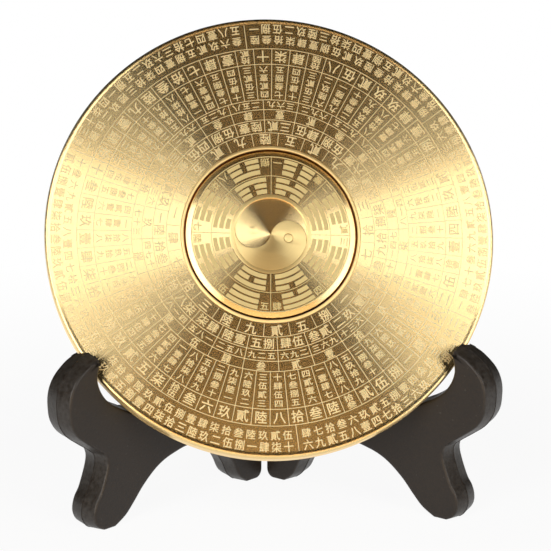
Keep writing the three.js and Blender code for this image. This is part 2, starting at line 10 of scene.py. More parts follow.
import bmesh
import bpy
from bpy.props import FloatProperty, FloatVectorProperty, IntProperty, PointerProperty
from mathutils import Matrix, Vector
from mathutils.geometry import interpolate_bezier

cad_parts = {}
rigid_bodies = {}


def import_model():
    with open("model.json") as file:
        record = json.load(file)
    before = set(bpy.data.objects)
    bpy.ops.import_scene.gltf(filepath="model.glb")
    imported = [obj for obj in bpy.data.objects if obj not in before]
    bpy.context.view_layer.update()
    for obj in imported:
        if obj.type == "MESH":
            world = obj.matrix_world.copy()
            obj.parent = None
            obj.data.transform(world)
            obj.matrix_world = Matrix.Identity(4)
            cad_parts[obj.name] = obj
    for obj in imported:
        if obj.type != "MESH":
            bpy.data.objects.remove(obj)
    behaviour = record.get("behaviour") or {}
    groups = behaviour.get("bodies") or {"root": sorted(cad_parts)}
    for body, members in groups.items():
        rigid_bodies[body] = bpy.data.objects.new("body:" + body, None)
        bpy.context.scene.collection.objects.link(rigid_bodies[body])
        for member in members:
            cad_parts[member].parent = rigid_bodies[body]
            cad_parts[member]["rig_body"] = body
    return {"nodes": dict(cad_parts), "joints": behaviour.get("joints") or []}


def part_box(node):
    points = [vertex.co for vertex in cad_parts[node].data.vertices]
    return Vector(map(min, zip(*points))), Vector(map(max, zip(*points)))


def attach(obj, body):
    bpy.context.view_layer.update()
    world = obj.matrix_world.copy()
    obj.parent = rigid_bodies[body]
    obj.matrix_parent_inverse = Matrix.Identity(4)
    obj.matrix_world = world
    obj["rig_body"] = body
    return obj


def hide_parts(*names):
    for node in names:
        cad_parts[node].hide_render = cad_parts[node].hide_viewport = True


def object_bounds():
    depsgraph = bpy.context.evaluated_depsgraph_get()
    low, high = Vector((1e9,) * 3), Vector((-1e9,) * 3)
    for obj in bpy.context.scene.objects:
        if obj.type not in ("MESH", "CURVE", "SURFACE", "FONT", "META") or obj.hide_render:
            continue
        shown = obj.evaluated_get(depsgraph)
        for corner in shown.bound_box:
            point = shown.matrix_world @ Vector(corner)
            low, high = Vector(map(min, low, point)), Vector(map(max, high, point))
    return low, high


bl_info = {
    "name": "Feng shui compass",
    "version": (1, 0, 0),
    "blender": (4, 5, 0),
    "location": "3D View > Sidebar > Compass",
    "description": "Builds a turned brass compass plate with its centre dial, bearing and folding stand",
    "category": "Add Mesh",
}

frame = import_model()
CAD_LOW, CAD_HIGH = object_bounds()

MM = 0.001
MICRON = MM / 1000
FULL_TURN = 2 * math.pi
QUARTER_TURN = math.pi / 2


def joint(name):
    """The record's entry of one joint"""
    return next(j for j in frame["joints"] if j["name"] == name)


def plate_frame():
    """Matrix that takes the plate's own frame to the part's frame"""
    out = Vector(joint("dial_spin")["axis"]).normalized()
    right = Vector((1, 0, 0))
    up = out.cross(right)
    place = Matrix((right, up, out)).transposed().to_4x4()
    place.translation = Vector(joint("dial_spin")["pos_m"])
    return place


def hinge_frame():
    """Matrix that puts a piece on the hinge axis of the stand"""
    return Matrix.Translation(joint("left_fold")["pos_m"])


def in_frame(node, place):
    """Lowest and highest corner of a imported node, measured in another frame"""
    back = place.inverted()
    points = [back @ v.co for v in frame["nodes"][node].data.vertices]
    low = Vector(map(min, zip(*points)))
    high = Vector(map(max, zip(*points)))
    return low, high


PLATE = plate_frame()
HINGE = hinge_frame()
FOLD = math.radians(joint("left_fold")["range_deg"][1])
PLATE_LOW, PLATE_HIGH = in_frame("dial_plate", PLATE)
DIAL_LOW, DIAL_HIGH = in_frame("centre_dial", PLATE)


def length(name, millimetres, description):
    """A property that holds a length"""
    return FloatProperty(
        name=name, description=description, default=millimetres * MM, min=0, unit="LENGTH", precision=5,
    )


def offset(name, millimetres, description):
    """A property that holds a distance to either side"""
    return FloatProperty(
        name=name, description=description, default=millimetres * MM, unit="LENGTH", precision=5,
    )


def share(name, default, description):
    """A property that holds a share from nothing to one"""
    return FloatProperty(name=name, description=description, default=default, min=0, max=1, subtype="FACTOR")


def angle(name, degrees, description):
    """A property that holds an angle"""
    return FloatProperty(
        name=name, description=description, default=math.radians(degrees), subtype="ANGLE", precision=3,
    )


def colour(name, default, description):
    """A property that holds a colour"""
    return FloatVectorProperty(
        name=name, description=description, default=default, min=0, max=1, size=3, subtype="COLOR",
    )


class CompassPlateSizes(bpy.types.PropertyGroup):
    """Sizes of the plate and of the rings on its face"""

    bead_rise: length("Bead rise", 0.34, "Height of the bead over the engraved face")
    lip_rise: length("Lip rise", 0.22, "Height of the lip over the engraved face")
    lip_inner: length("Lip inner radius", 73.15, "Radius at which the lip begins")
    lip_crest: length("Lip crest radius", 73.9, "Radius of the crest of the lip")
    edge_round: length("Edge rounding", 0.95, "Rounding of the plate's outer edges")
    bead_width: length("Bead width", 1.1, "Width of the bead round the pocket")
    pocket_radius: length("Pocket radius", 29.05, "Radius of the pocket for the centre dial")
    pocket_depth: length("Pocket depth", 3, "Depth of the pocket under the engraved face")
    legend_outer: length("Legend outer radius", 73, "Outer radius of the two rows at the rim")
    name_outer: length("Name ring outer radius", 64.3, "Outer radius of the ring of 64 names")
    column_outer: length("Column ring outer radius", 58.8, "Outer radius of the ring of 64 columns")
    count_outer: length("Outer count ring radius", 46.3, "Outer radius of the outer ring of counts")
    count_inner: length("Inner count ring radius", 42.9, "Outer radius of the inner ring of counts")
    pair_outer: length("Pair ring outer radius", 39.3, "Outer radius of the ring of pairs")
    single_outer: length("Single ring outer radius", 34.8, "Outer radius of the ring of single marks")
    single_inner: length("Single ring inner radius", 30.35, "Inner radius of the ring of single marks")
    line_width: length("Line width", 0.2, "Width of the etched lines")
    relief: length("Relief", 0.05, "Height of lines and numerals over the face")
    segments: IntProperty(name="Facets", description="Facets round the plate", default=360, min=72, max=720)


class CompassDialSizes(bpy.types.PropertyGroup):
    """Sizes of the centre dial and its figures"""

    bevel_width: length("Bevel width", 1.75, "Width of the bevel round the dial")
    bevel_drop: length("Bevel drop", 0.55, "Drop of the bevel at the dial's edge")
    border_radius: length("Border radius", 26.45, "Radius of the line inside the bevel")
    middle_radius: length("Middle radius", 19.9, "Radius of the line between the two rings of trigrams")
    ring_radius: length("Ring radius", 12.95, "Radius of the ring round the taiji")
    ring_width: length("Ring width", 1.15, "Width of the ring round the taiji")
    taiji_radius: length("Taiji radius", 12, "Radius of the taiji")
    taiji_depth: length("Taiji depth", 0.6, "Depth of the sunk half of the taiji")
    eye_radius: length("Eye radius", 1.5, "Radius of the two eyes")
    edge_round: length("Edge rounding", 0.22, "Rounding of the taiji's edges")
    taiji_turn: angle("Taiji turn", -14.4, "Turn of the taiji about its centre")


class CompassStandSizes(bpy.types.PropertyGroup):
    """Sizes of the moulded boards of the stand"""

    thickness: length("Board thickness", 12, "Thickness of a board")
    clearance: length("Clearance", 0.4, "Distance from the hinge plane to a board's inner face")
    draft: length("Draft", 0.9, "How far the middle of a board's edge stands out past its faces")
    parting_width: length("Parting width", 0.3, "Width of the parting line round the edge")
    parting_rise: length("Parting rise", 0.12, "Height of the parting line")
    edge_round: length("Edge rounding", 0.9, "Rounding of the edges of the faces")
    hook_reach: length("Hook reach", 23.7, "How far the hook reaches past the plate's seat")
    hook_rise: length("Hook rise", 20.1, "How far the hook rises over the plate's seat")
    foot_span: length("Foot span", 68.7, "Distance from the rear foot to the front foot")
    arch_height: length("Arch height", 20.2, "Height of the arch under a board")
    upright_depth: length("Upright depth", 13, "Depth of the upright behind the plate")
    knuckle_radius: length("Knuckle radius", 3.2, "Radius of the knuckles of the hinge")
    knuckle_length: length("Knuckle length", 13.2, "Length of one knuckle")
    knuckle_gap: length("Knuckle gap", 0.4, "Gap between two knuckles and round them")
    knuckle_start: length("Knuckle start", 28, "Height at which the lowest knuckle begins")
    pin_radius: length("Pin radius", 1.5, "Radius of the hinge pin")
    steps: IntProperty(
        name="Steps", description="Steps between two points of the outline", default=6, min=1, max=20,
    )


class CompassColours(bpy.types.PropertyGroup):
    """Colours of the finishes"""

    turned: colour("Turned brass", (0.90, 0.67, 0.32), "Bright turned face of the plate")
    etched: colour("Etched brass", (0.77, 0.61, 0.32), "Matte lines and numerals of the plate")
    figures: colour("Figure brass", (0.66, 0.515, 0.23), "Matte lines and figures of the dial")
    satin: colour("Satin brass", (0.72, 0.545, 0.24), "Raised half of the taiji")
    bead: colour("Bead brass", (0.84, 0.62, 0.28), "Bead round the pocket")
    steel: colour("Steel", (0.62, 0.62, 0.64), "Bearing, spindle and hinge pin")
    screw: colour("Screw steel", (0.30, 0.29, 0.28), "Dark plated screws")
    plastic: colour("Black plastic", (0.0165, 0.0122, 0.0088), "Moulded boards of the stand")
    floor: colour("Floor", (0.86, 0.86, 0.86), "Floor under the stand")


class CompassStage(bpy.types.PropertyGroup):
    """Camera, lamps and floor"""

    distance: length("Camera distance", 694.1, "Distance from the camera to the plate's centre")
    elevation: angle("Camera elevation", 14.256, "Height of the camera over the horizon")
    azimuth: angle("Camera azimuth", 5.243, "Turn of the camera to the left of the plate")
    roll: angle("Camera roll", 0.187, "Roll of the camera")
    aim_right: offset("Aim right", 1.51, "Camera moved to the right")
    aim_up: offset("Aim up", -13.84, "Camera moved up")
    lens: FloatProperty(name="Lens", description="Focal length in millimetres", default=136.353, min=1)
    floor_radius: length("Floor radius", 6000, "Radius of the floor")
    glow: share("Floor glow", 0.93, "Share of the floor that shows plain white")


class Value:
    """A number that comes out of a shader node, for use in sums"""

    def __init__(self, recipe, socket):
        self.recipe = recipe
        self.socket = socket

    def maths(self, operation, *others):
        """A Math node on this value and others"""
        inputs = dict(enumerate((self, *others)))
        node = self.recipe.node("ShaderNodeMath", {"operation": operation}, inputs)
        return Value(self.recipe, node.outputs[0])

    def __add__(self, other):
        return self.maths("ADD", other)

    def __sub__(self, other):
        return self.maths("SUBTRACT", other)

    def __mul__(self, other):
        return self.maths("MULTIPLY", other)

    def __rsub__(self, other):
        return self * -1 + other

    __radd__ = __add__
    __rmul__ = __mul__


class Nodes:
    """The empty node tree of a material or a world"""

    def __init__(self, owner):
        owner.use_nodes = True
        self.tree = owner.node_tree
        self.tree.nodes.clear()

    def node(self, kind, settings, inputs):
        """Adds one node. Its settings are set first, then the values or links of its sockets."""
        made = self.tree.nodes.new(kind)
        for name, value in settings.items():
            if name == "stops":
                self.set_stops(made.color_ramp, value)
            else:
                setattr(made, name, value)
        for key, value in inputs.items():
            socket = made.inputs[key]
            if isinstance(value, Value):
                self.tree.links.new(value.socket, socket)
            elif isinstance(value, bpy.types.NodeSocket):
                self.tree.links.new(value, socket)
            else:
                socket.default_value = value
        return made

    @staticmethod
    def set_stops(ramp, stops):
        """Sets the stops of a colour ramp"""
        while len(ramp.elements) < len(stops):
            ramp.elements.new(1)
        for element, (place, level) in zip(ramp.elements, stops):
            element.position = place
            element.color = (level, level, level, 1)


class Recipe(Nodes):
    """The node tree of one material"""

    def __init__(self, name, plain):
        self.material = bpy.data.materials.new(name)
        super().__init__(self.material)
        self.shader = self.node("ShaderNodeBsdfPrincipled", {}, plain)
        self.out = self.node("ShaderNodeOutputMaterial", {}, {"Surface": self.shader.outputs[0]})

    def feed(self, name, source):
        """Links a value or a colour to the shader"""
        socket = source.socket if isinstance(source, Value) else source
        self.tree.links.new(socket, self.shader.inputs[name])

    def place(self):
        """Place on the piece, in its own frame"""
        return self.node("ShaderNodeTexCoord", {}, {}).outputs["Object"]

    def from_axis(self):
        """Distance from the piece's own Z axis, in millimetres"""
        flat = self.node("ShaderNodeVectorMath", {"operation": "MULTIPLY"}, {0: self.place(), 1: (1, 1, 0)})
        size = self.node("ShaderNodeVectorMath", {"operation": "LENGTH"}, {0: flat.outputs["Vector"]})
        return Value(self, size.outputs["Value"]) * (1 / MM)

    def axis_value(self, axis):
        """Place along one of the piece's own axes, in millimetres"""
        parts = self.node("ShaderNodeSeparateXYZ", {}, {0: self.place()})
        return Value(self, parts.outputs[axis]) * (1 / MM)

    def noise(self, waves, detail=2):
        """Cloudy noise over the piece, from nothing to one. Waves are per metre."""
        made = self.node("ShaderNodeTexNoise", {}, {"Vector": self.place(), "Scale": waves, "Detail": detail})
        return Value(self, made.outputs["Fac"])

    def rings(self, waves, detail=2):
        """Noise that changes with the distance from the Z axis alone. Waves are per millimetre."""
        made = self.node(
            "ShaderNodeTexNoise", {"noise_dimensions": "1D"},
            {"W": self.from_axis(), "Scale": waves, "Detail": detail},
        )
        return Value(self, made.outputs["Fac"])

    def steps(self, value, stops):
        """Runs a value through a ramp of (place, level) stops"""
        ramp = self.node("ShaderNodeValToRGB", {"stops": stops}, {"Fac": value})
        return Value(self, ramp.outputs["Color"])

    def mix(self, factor, first, second):
        """Mixes two colours"""
        made = self.node(
            "ShaderNodeMix", {"data_type": "RGBA"},
            {0: factor, 6: opaque(first), 7: opaque(second)},
        )
        return made.outputs[2]

    def shades(self, factor, tint, dark, light):
        """A tint that goes from a darker to a lighter shade"""
        return self.mix(factor, shaded(tint, dark), shaded(tint, light))

    def bump(self, height, distance):
        """Gives the surface a relief of the given depth, in metres"""
        made = self.node("ShaderNodeBump", {}, {"Height": height, "Distance": distance, "Strength": 1})
        self.feed("Normal", made.outputs["Normal"])


def opaque(tint):
    """A colour with its alpha"""
    return tint if isinstance(tint, bpy.types.NodeSocket) else (*tint, 1)


def shaded(tint, level):
    """A colour made lighter or darker"""
    return tuple(min(1, part * level) for part in tint)


def swing(noise, reach):
    """Noise as a change to both sides of a middle value"""
    return (noise - 0.5) * reach


WHITE = (1, 1, 1, 1)
# Turn of the highlights that lays them across the turning marks
ACROSS_MARKS = 0.25
# Depth under the face and distance from the axis that the ramps of the painted shade in the pocket run over,
# in millimetres
POCKET_SHADE_DEPTH = 10
POCKET_SHADE_WIDTH = 100
POCKET_SHADE_BY_DEPTH = ((0.08, 0), (0.15, 1), (0.4, 1), (0.45, 0))
POCKET_SHADE_BY_WIDTH = ((0.32, 1), (0.34, 0))
# Dark orange painted on the pocket's walls as painted shade, where the dial meets the plate
POCKET_SHADE = (0.45, 0.2, 0.05)


def turned_finish(name, tint, metallic, spread, roughness, groove):
    """Metal turned on a lathe: fine rings, highlights that fan out across them, and painted shade low in the
    pocket
    """
    recipe = Recipe(name, {"Metallic": metallic, "Anisotropic": spread, "Anisotropic Rotation": ACROSS_MARKS})
    wide = recipe.rings(waves=0.9, detail=3)
    fine = recipe.rings(waves=7)
    cloud = recipe.noise(waves=60)
    # Painted shade: the walls deep in the pocket and near the axis are darkened to a dark orange
    sunk = recipe.steps(recipe.axis_value("Z") * (-1 / POCKET_SHADE_DEPTH), POCKET_SHADE_BY_DEPTH)
    pocket_shade = sunk * recipe.steps(recipe.from_axis() * (1 / POCKET_SHADE_WIDTH), POCKET_SHADE_BY_WIDTH)
    bright = recipe.shades(wide * 0.6 + fine * 0.4, tint, dark=0.93, light=1.05)
    recipe.feed("Base Color", recipe.mix(pocket_shade, bright, POCKET_SHADE))
    recipe.feed("Roughness", roughness + swing(fine, reach=0.02) + swing(cloud, reach=0.01))
    recipe.bump(fine, groove)
    return recipe.material


def etched_finish(name, tint, roughness=0.45):
    """Brass with the fine matte grain that etching leaves"""
    recipe = Recipe(name, {"Metallic": 0.75})
    grain = recipe.noise(waves=9000)
    cloud = recipe.noise(waves=140)
    recipe.feed("Base Color", recipe.shades(cloud * 0.5 + grain * 0.5, tint, dark=0.88, light=1.1))
    recipe.feed("Roughness", roughness + swing(grain, reach=0.16))
    recipe.bump(grain, distance=0.012 * MM)
    return recipe.material


def steel_finish(name, tint, roughness):
    """Steel with faint turning marks"""
    recipe = Recipe(name, {"Metallic": 1.0})
    fine = recipe.rings(waves=9)
    cloud = recipe.noise(waves=400)
    recipe.feed("Base Color", recipe.shades(cloud, tint, dark=0.85, light=1.08))
    recipe.feed("Roughness", roughness + swing(fine, reach=0.14))
    recipe.bump(fine, distance=0.004 * MM)
    return recipe.material


# Ramps of the specks, of the walls, and of the grey patches on them that are partly wear and partly painted
# highlight, and their two greys
SPECKS = ((0.74, 0), (0.79, 1))
WALLS = ((0.15, 1), (0.8, 0))
WEAR_AND_HIGHLIGHT_PATCHES = ((0.3, 0), (0.75, 1))
WEAR_AND_HIGHLIGHT_GREY = (0.05, 0.047, 0.043)
SPECK_GREY = (0.12, 0.11, 0.10)


def plastic_finish(name, tint, roughness=0.37):
    """Black moulded plastic with a fine grain, faint flow marks, and edges greyed partly by wear from
    handling and partly by painted highlight
    """
    recipe = Recipe(name, {"Metallic": 0.0, "IOR": 1.38})
    grain = recipe.noise(waves=1200, detail=3)
    flow = recipe.noise(waves=45, detail=3)
    specks = recipe.steps(recipe.noise(waves=900, detail=1), SPECKS)
    facing = recipe.node("ShaderNodeTexCoord", {}, {}).outputs["Normal"]
    sideways = Value(recipe, recipe.node("ShaderNodeSeparateXYZ", {}, {0: facing}).outputs["Y"])
    wall = recipe.steps(sideways * sideways, WALLS)
    # Grey patches on the walls: partly wear, partly painted highlight along the edges
    wear_and_highlight = recipe.steps(recipe.noise(waves=700, detail=6), WEAR_AND_HIGHLIGHT_PATCHES) * wall
    base = recipe.shades(flow * 0.4 + grain * 0.6, tint, dark=0.6, light=1.5)
    rubbed_and_highlit = recipe.mix(wear_and_highlight * 0.8, base, WEAR_AND_HIGHLIGHT_GREY)
    recipe.feed("Base Color", recipe.mix(specks * 0.15, rubbed_and_highlit, SPECK_GREY))
    rough = roughness + swing(flow, reach=0.1) + swing(grain, reach=0.3) + wear_and_highlight * 0.06
    recipe.feed("Roughness", rough)
    recipe.bump(grain, distance=0.06 * MM)
    return recipe.material


# Widths in millimetres that the ramps of the floor run over, and the places on them
FLOOR_DEPTH = 1000
FLOOR_WIDTH = 500
BEHIND = ((0.05, 0), (0.25, 1))
NEAR, FAR = 0.22, 0.7


def floor_finish(name, tint, glow):
    """Pale floor that keeps a soft shadow near the stand and goes over to white farther off"""
    recipe = Recipe(name, {"Base Color": opaque(tint), "Roughness": 0.9})
    path = recipe.node("ShaderNodeLightPath", {}, {})
    camera, glossy, through = (
        Value(recipe, path.outputs[f"Is {ray} Ray"]) for ray in ("Camera", "Glossy", "Transmission")
    )
    behind = recipe.steps(recipe.axis_value("Y") * (1 / FLOOR_DEPTH) + 0.5, BEHIND)
    far = recipe.steps(recipe.from_axis() * (1 / FLOOR_WIDTH), ((NEAR, glow), (FAR, 1)))
    shown = (camera + (glossy + through) * behind) * far
    white = recipe.node("ShaderNodeEmission", {}, {"Color": WHITE, "Strength": 1})
    mixed = recipe.node(
        "ShaderNodeMixShader", {}, {0: shown, 1: recipe.shader.outputs[0], 2: white.outputs[0]},
    )
    recipe.tree.links.new(mixed.outputs[0], recipe.out.inputs["Surface"])
    return recipe.material


# How each finish is made, the name of its colour, and its other values
LOOKS = {
    "turned_brass": (
        turned_finish, "turned", {"metallic": 1.0, "spread": 1.0, "roughness": 0.265, "groove": 0.6 * MICRON},
    ),
    "satin_brass": (
        turned_finish, "satin", {"metallic": 0.9, "spread": 0.8, "roughness": 0.42, "groove": MICRON},
    ),
    "polished_brass": (etched_finish, "bead", {}),
    "etched_brass": (etched_finish, "etched", {}),
    "figure_brass": (etched_finish, "figures", {}),
    "bright_steel": (steel_finish, "steel", {"roughness": 0.24}),
    "screw_steel": (steel_finish, "screw", {"roughness": 0.36}),
    "black_plastic": (plastic_finish, "plastic", {}),
}
FINISHES = {}


def finish(name):
    """A material by its name, made the first time that it is asked for"""
    if name not in FINISHES:
        make, tint, values = LOOKS[name]
        FINISHES[name] = make(name, getattr(bpy.context.scene.compass_colours, tint), **values)
    return FINISHES[name]


# Angle between two faces from which their edge is drawn sharp
SHARP_EDGE = math.radians(32)


def in_scene(name, data):
    """An object of the given data, linked to the scene"""
    holder = bpy.data.objects.new(name, data)
    bpy.context.scene.collection.objects.link(holder)
    return holder


def as_piece(name, mesh, place, body, look, replaced=()):
    """Makes an object of a mesh and lets it ride on a body of the frame"""
    mesh.name = name
    mesh.shade_smooth()
    mesh.set_sharp_from_angle(angle=SHARP_EDGE)
    mesh.materials.clear()
    mesh.materials.append(finish(look))
    piece = in_scene(name, mesh)
    piece.matrix_world = place
    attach(piece, body)
    if replaced:
        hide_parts(*replaced)


def mesh_from(work):
    """The mesh of work that is done"""
    mesh = bpy.data.meshes.new("mesh")
    work.to_mesh(mesh)
    work.free()
    return mesh


def evaluated(holder):
    """The mesh of an object after its modifiers or its curve settings"""
    return bpy.data.meshes.new_from_object(holder.evaluated_get(bpy.context.evaluated_depsgraph_get()))


def mesh_of(points, faces):
    """A mesh with merged points and faces that look out"""
    mesh = bpy.data.meshes.new("mesh")
    mesh.from_pydata([tuple(p) for p in points], [], faces)
    tidy(mesh, MICRON)
    return mesh


def tidy(mesh, distance):
    """Merges the points of a mesh that fall together, clears faces without area and turns the rest out"""
    work = bmesh.new()
    work.from_mesh(mesh)
    bmesh.ops.remove_doubles(work, verts=work.verts, dist=distance)
    bmesh.ops.dissolve_degenerate(work, edges=work.edges, dist=distance)
    bmesh.ops.recalc_face_normals(work, faces=work.faces)
    work.to_mesh(mesh)
    work.free()


def rounded(corners, steps=5):
    """A line through corners of (radius, height, rounding), with the corners rounded"""
    line = []
    for i, (radius, height, rounding) in enumerate(corners):
        corner = Vector((radius, height))
        if not rounding:
            line.append(corner)
            continue
        before = Vector(corners[i - 1][:2])
        after = Vector(corners[(i + 1) % len(corners)][:2])
        start = corner + (before - corner).normalized() * rounding
        end = corner + (after - corner).normalized() * rounding
        for step in range(steps + 1):
            part = step / steps
            line.append(start.lerp(corner, part).lerp(corner.lerp(end, part), part))
    return line


def turned(line, segments):
    """Turns a closed line of (radius, height) points about the Z axis"""
    points, faces = [], []
    for i in range(segments):
        turn = FULL_TURN * i / segments
        points += [(p[0] * math.cos(turn), p[0] * math.sin(turn), p[1]) for p in line]
    count = len(line)
    for i in range(segments):
        near, far = i * count, (i + 1) % segments * count
        for j in range(count):
            k = (j + 1) % count
            corners = [near + j, near + k, far + k, far + j]
            if line[j][0] == 0:
                corners.remove(far + j)
            if line[k][0] == 0:
                corners.remove(far + k)
            if len(corners) > 2:
                faces.append(corners)
    return mesh_of(points, faces)


def lathe(corners, facets, steps=5):
    """A solid turned about the Z axis, of rounded corners of (radius, height, rounding)"""
    return turned(rounded(corners, steps), facets)


def joined(meshes):
    """One mesh of several"""
    work = bmesh.new()
    for mesh in meshes:
        work.from_mesh(mesh)
        bpy.data.meshes.remove(mesh)
    return mesh_from(work)


def at_clock(radius, clock):
    """Place on the face at a clockwise angle from the top"""
    return Vector((radius * math.sin(clock), radius * math.cos(clock)))


class Relief:
    """Gathers the raised pieces of one ring of the face into one mesh"""

    def __init__(self, rise, sink):
        self.rise = rise
        self.sink = sink
        self.points = []
        self.faces = []

    def add(self, points, faces):
        """Adds points, and faces that count from the first of them"""
        start = len(self.points)
        self.points += points
        self.faces += [[start + i for i in face] for face in faces]

    def sector(self, inner, outer, low, high, steps):
        """A raised patch between two radii and two clockwise angles"""
        around = [low + (high - low) * i / steps for i in range(steps + 1)]
        loop = [at_clock(outer, turn) for turn in around]
        loop += [at_clock(inner, turn) for turn in reversed(around)]
        count = len(loop)
        points = [(*p, self.rise) for p in loop] + [(*p, -self.sink) for p in loop]
        faces = []
        for i in range(steps):
            top = [i, i + 1, count - 2 - i, count - 1 - i]
            faces += [top, [count + corner for corner in reversed(top)]]
        faces += [[i, i + count, (i + 1) % count + count, (i + 1) % count] for i in range(count)]
        self.add(points, faces)

    def circle(self, radius, width, steps):
        """A raised line all the way round"""
        inner, outer = radius - width / 2, radius + width / 2
        line = ((outer, self.rise), (outer, -self.sink), (inner, -self.sink), (inner, self.rise))
        points, faces = [], []
        for i in range(steps):
            turn = FULL_TURN * i / steps
            points += [(*at_clock(r, turn), h) for r, h in line]
            after = (i + 1) % steps * 4
            faces += [[i * 4 + j, i * 4 + (j + 1) % 4, after + (j + 1) % 4, after + j] for j in range(4)]
        self.add(points, faces)

    def spoke(self, inner, outer, clock, width):
        """A raised line along a radius"""
        along = at_clock(1, clock)
        across = Vector((along.y, -along.x)) * (width / 2)
        corners = ((inner, -1), (inner, 1), (outer, 1), (outer, -1))
        loop = [along * end + across * side for end, side in corners]
        points = [(*p, self.rise) for p in loop] + [(*p, -self.sink) for p in loop]
        faces = [[0, 1, 2, 3], [7, 6, 5, 4]] + [[i, i + 4, (i + 1) % 4 + 4, (i + 1) % 4] for i in range(4)]
        self.add(points, faces)

    def numeral(self, character, radius, clock, size):
        """A raised numeral whose top looks to the centre"""
        points, faces = glyph(character)
        width, height = (side * MM for side in size)
        middle = at_clock(radius, clock)
        up = -at_clock(1, clock)
        right = Vector((up.y, -up.x))
        depth = self.rise + self.sink
        placed = [
            (*(middle + right * (x * width) + up * (y * height)), z * depth - self.sink)
            for x, y, z in points
        ]
        self.add(placed, faces)

    def mesh(self):
        """The mesh of all that was added"""
        return mesh_of(self.points, self.faces)


PLAIN_DIGITS = "一二三四五六七八九十"
FORMAL_DIGITS = "壹貳叁肆伍陸柒捌玖拾"
# Sizes of a numeral in the units of its font: middle, width, how far it is made bolder, merging distance
GLYPH_MIDDLE = (0.5, 0.38)
GLYPH_SIZE = 0.92
GLYPH_BOLDNESS = 0.012
GLYPH_MERGE = 0.001
HALF_HIGH = 0.5
GLYPHS = {}


def bolder(mesh, distance):
    """The points of a flat solid, moved out from its side walls"""
    mesh.calc_loop_triangles()
    push = [Vector((0, 0, 0)) for _ in mesh.vertices]
    for face in mesh.polygons:
        if abs(face.normal.z) < 0.5:
            for corner in face.vertices:
                push[corner] += face.normal
    for vertex, way in zip(mesh.vertices, push):
        yield vertex.co + way * (2 * distance / max(1, way.length_squared) if way.length else 0)


def glyph(character):
    """Points and faces of one solid numeral in a box of one unit, from nothing to one high"""
    if character in GLYPHS:
        return GLYPHS[character]
    curve = bpy.data.curves.new("numeral", "FONT")
    curve.body = character
    curve.extrude = HALF_HIGH
    curve.resolution_u = 2
    holder = in_scene("numeral", curve)
    mesh = evaluated(holder)
    tidy(mesh, GLYPH_MERGE)
    points = [
        ((x - GLYPH_MIDDLE[0]) / GLYPH_SIZE, (y - GLYPH_MIDDLE[1]) / GLYPH_SIZE, z + HALF_HIGH)
        for x, y, z in bolder(mesh, GLYPH_BOLDNESS)
    ]
    GLYPHS[character] = (points, [list(face.vertices) for face in mesh.polygons])
    bpy.data.objects.remove(holder)
    bpy.data.curves.remove(curve)
    bpy.data.meshes.remove(mesh)
    return GLYPHS[character]


def digit(number, formal=False):
    """Numeral for a number, which starts again at one after each ten

    Along a ring the number rises in steps that share no factor with ten, so all ten numerals take turns.
    """
    return (FORMAL_DIGITS if formal else PLAIN_DIGITS)[(number - 1) % 10]


def number_words(number):
    """A number from 1 to 99 in at most two formal numerals"""
    if number <= 10:
        return digit(number, True)
    tens, ones = divmod(number, 10)
    return digit(10 if tens == 1 else tens, True) + digit(ones or 10, True)


# Clockwise angles at which the cells of the rings begin
LEGEND_START = math.radians(-5.2)
NAME_START = math.radians(-3.3)
COUNT_START = math.radians(-1.2)
SINGLE_START = math.radians(6.2)
DIAL_START = math.radians(2.3)

LEGEND_PARTS = 6
NAME_CELLS = 64
COUNT_CELLS = 24
TRIGRAMS = 8

# Width and height of the numerals, in millimetres
NAME_SIZE = (3.9, 3.9)
DOUBLE_NAME_SIZE = (3.0, 2.25)
COLUMN_SIZE = (2.75, 2.35)
COUNT_SIZE = (2.6, 2.3)
TOTAL_SIZE = (2.9, 2.9)
PAIR_SIZE = (3.5, 3.4)
SINGLE_SIZE = (3.7, 3.6)
DIAL_SIZE = (2.9, 2.7)

# Rows at the rim: distance from the ring's outer radius, size of the numerals, and how many in one part
RIM_ROWS = ((1.75 * MM, (3.1, 3.3), 18), (5.6 * MM, (3.0, 3.0), 17))
RIM_MARGIN = math.radians(2.6)
# Distances between the middles of neighbouring numerals, and what the columns leave free
DOUBLE_PITCH = 2.4 * MM
COUNT_PITCH = 3.2 * MM
PAIR_PITCH = 4.1 * MM
COLUMN_MARGIN = 0.9 * MM
# Clockwise angles in degrees between which a cell has its three numerals in the outer ring
THREE_OUTSIDE = ((-40, 95), (-95, -70))


class CompassPiece:
    """What the operators that make pieces have in common"""

    bl_options = {"REGISTER", "UNDO"}

    @property
    def plate(self):
        return bpy.context.scene.compass_plate_sizes

    @property
    def dial(self):
        return bpy.context.scene.compass_dial_sizes

    def new_relief(self):
        """An empty ring of raised pieces, let into the face by as much as it stands out"""
        return Relief(self.plate.relief, self.plate.relief)

    @staticmethod
    def engraved(name, mesh, body, look, replaced=()):
        """A piece of engraved brass in the plate's frame"""
        as_piece(name, mesh, PLATE, body, look, replaced)


# Slack of the seats in the back, width of the ledge over the bearing as a share of its seat's radius
SEAT_SLACK = 0.05 * MM
LEDGE_SHARE = 0.85
# Half the width of the lip's crest, and the distance from the lip to the plate's edge
CREST_HALF = 0.15 * MM
LIP_FALL = 0.45 * MM
# Depth of the bead's root, and the flat share of its top
BEAD_ROOT = 0.3 * MM
BEAD_TOP = 0.7


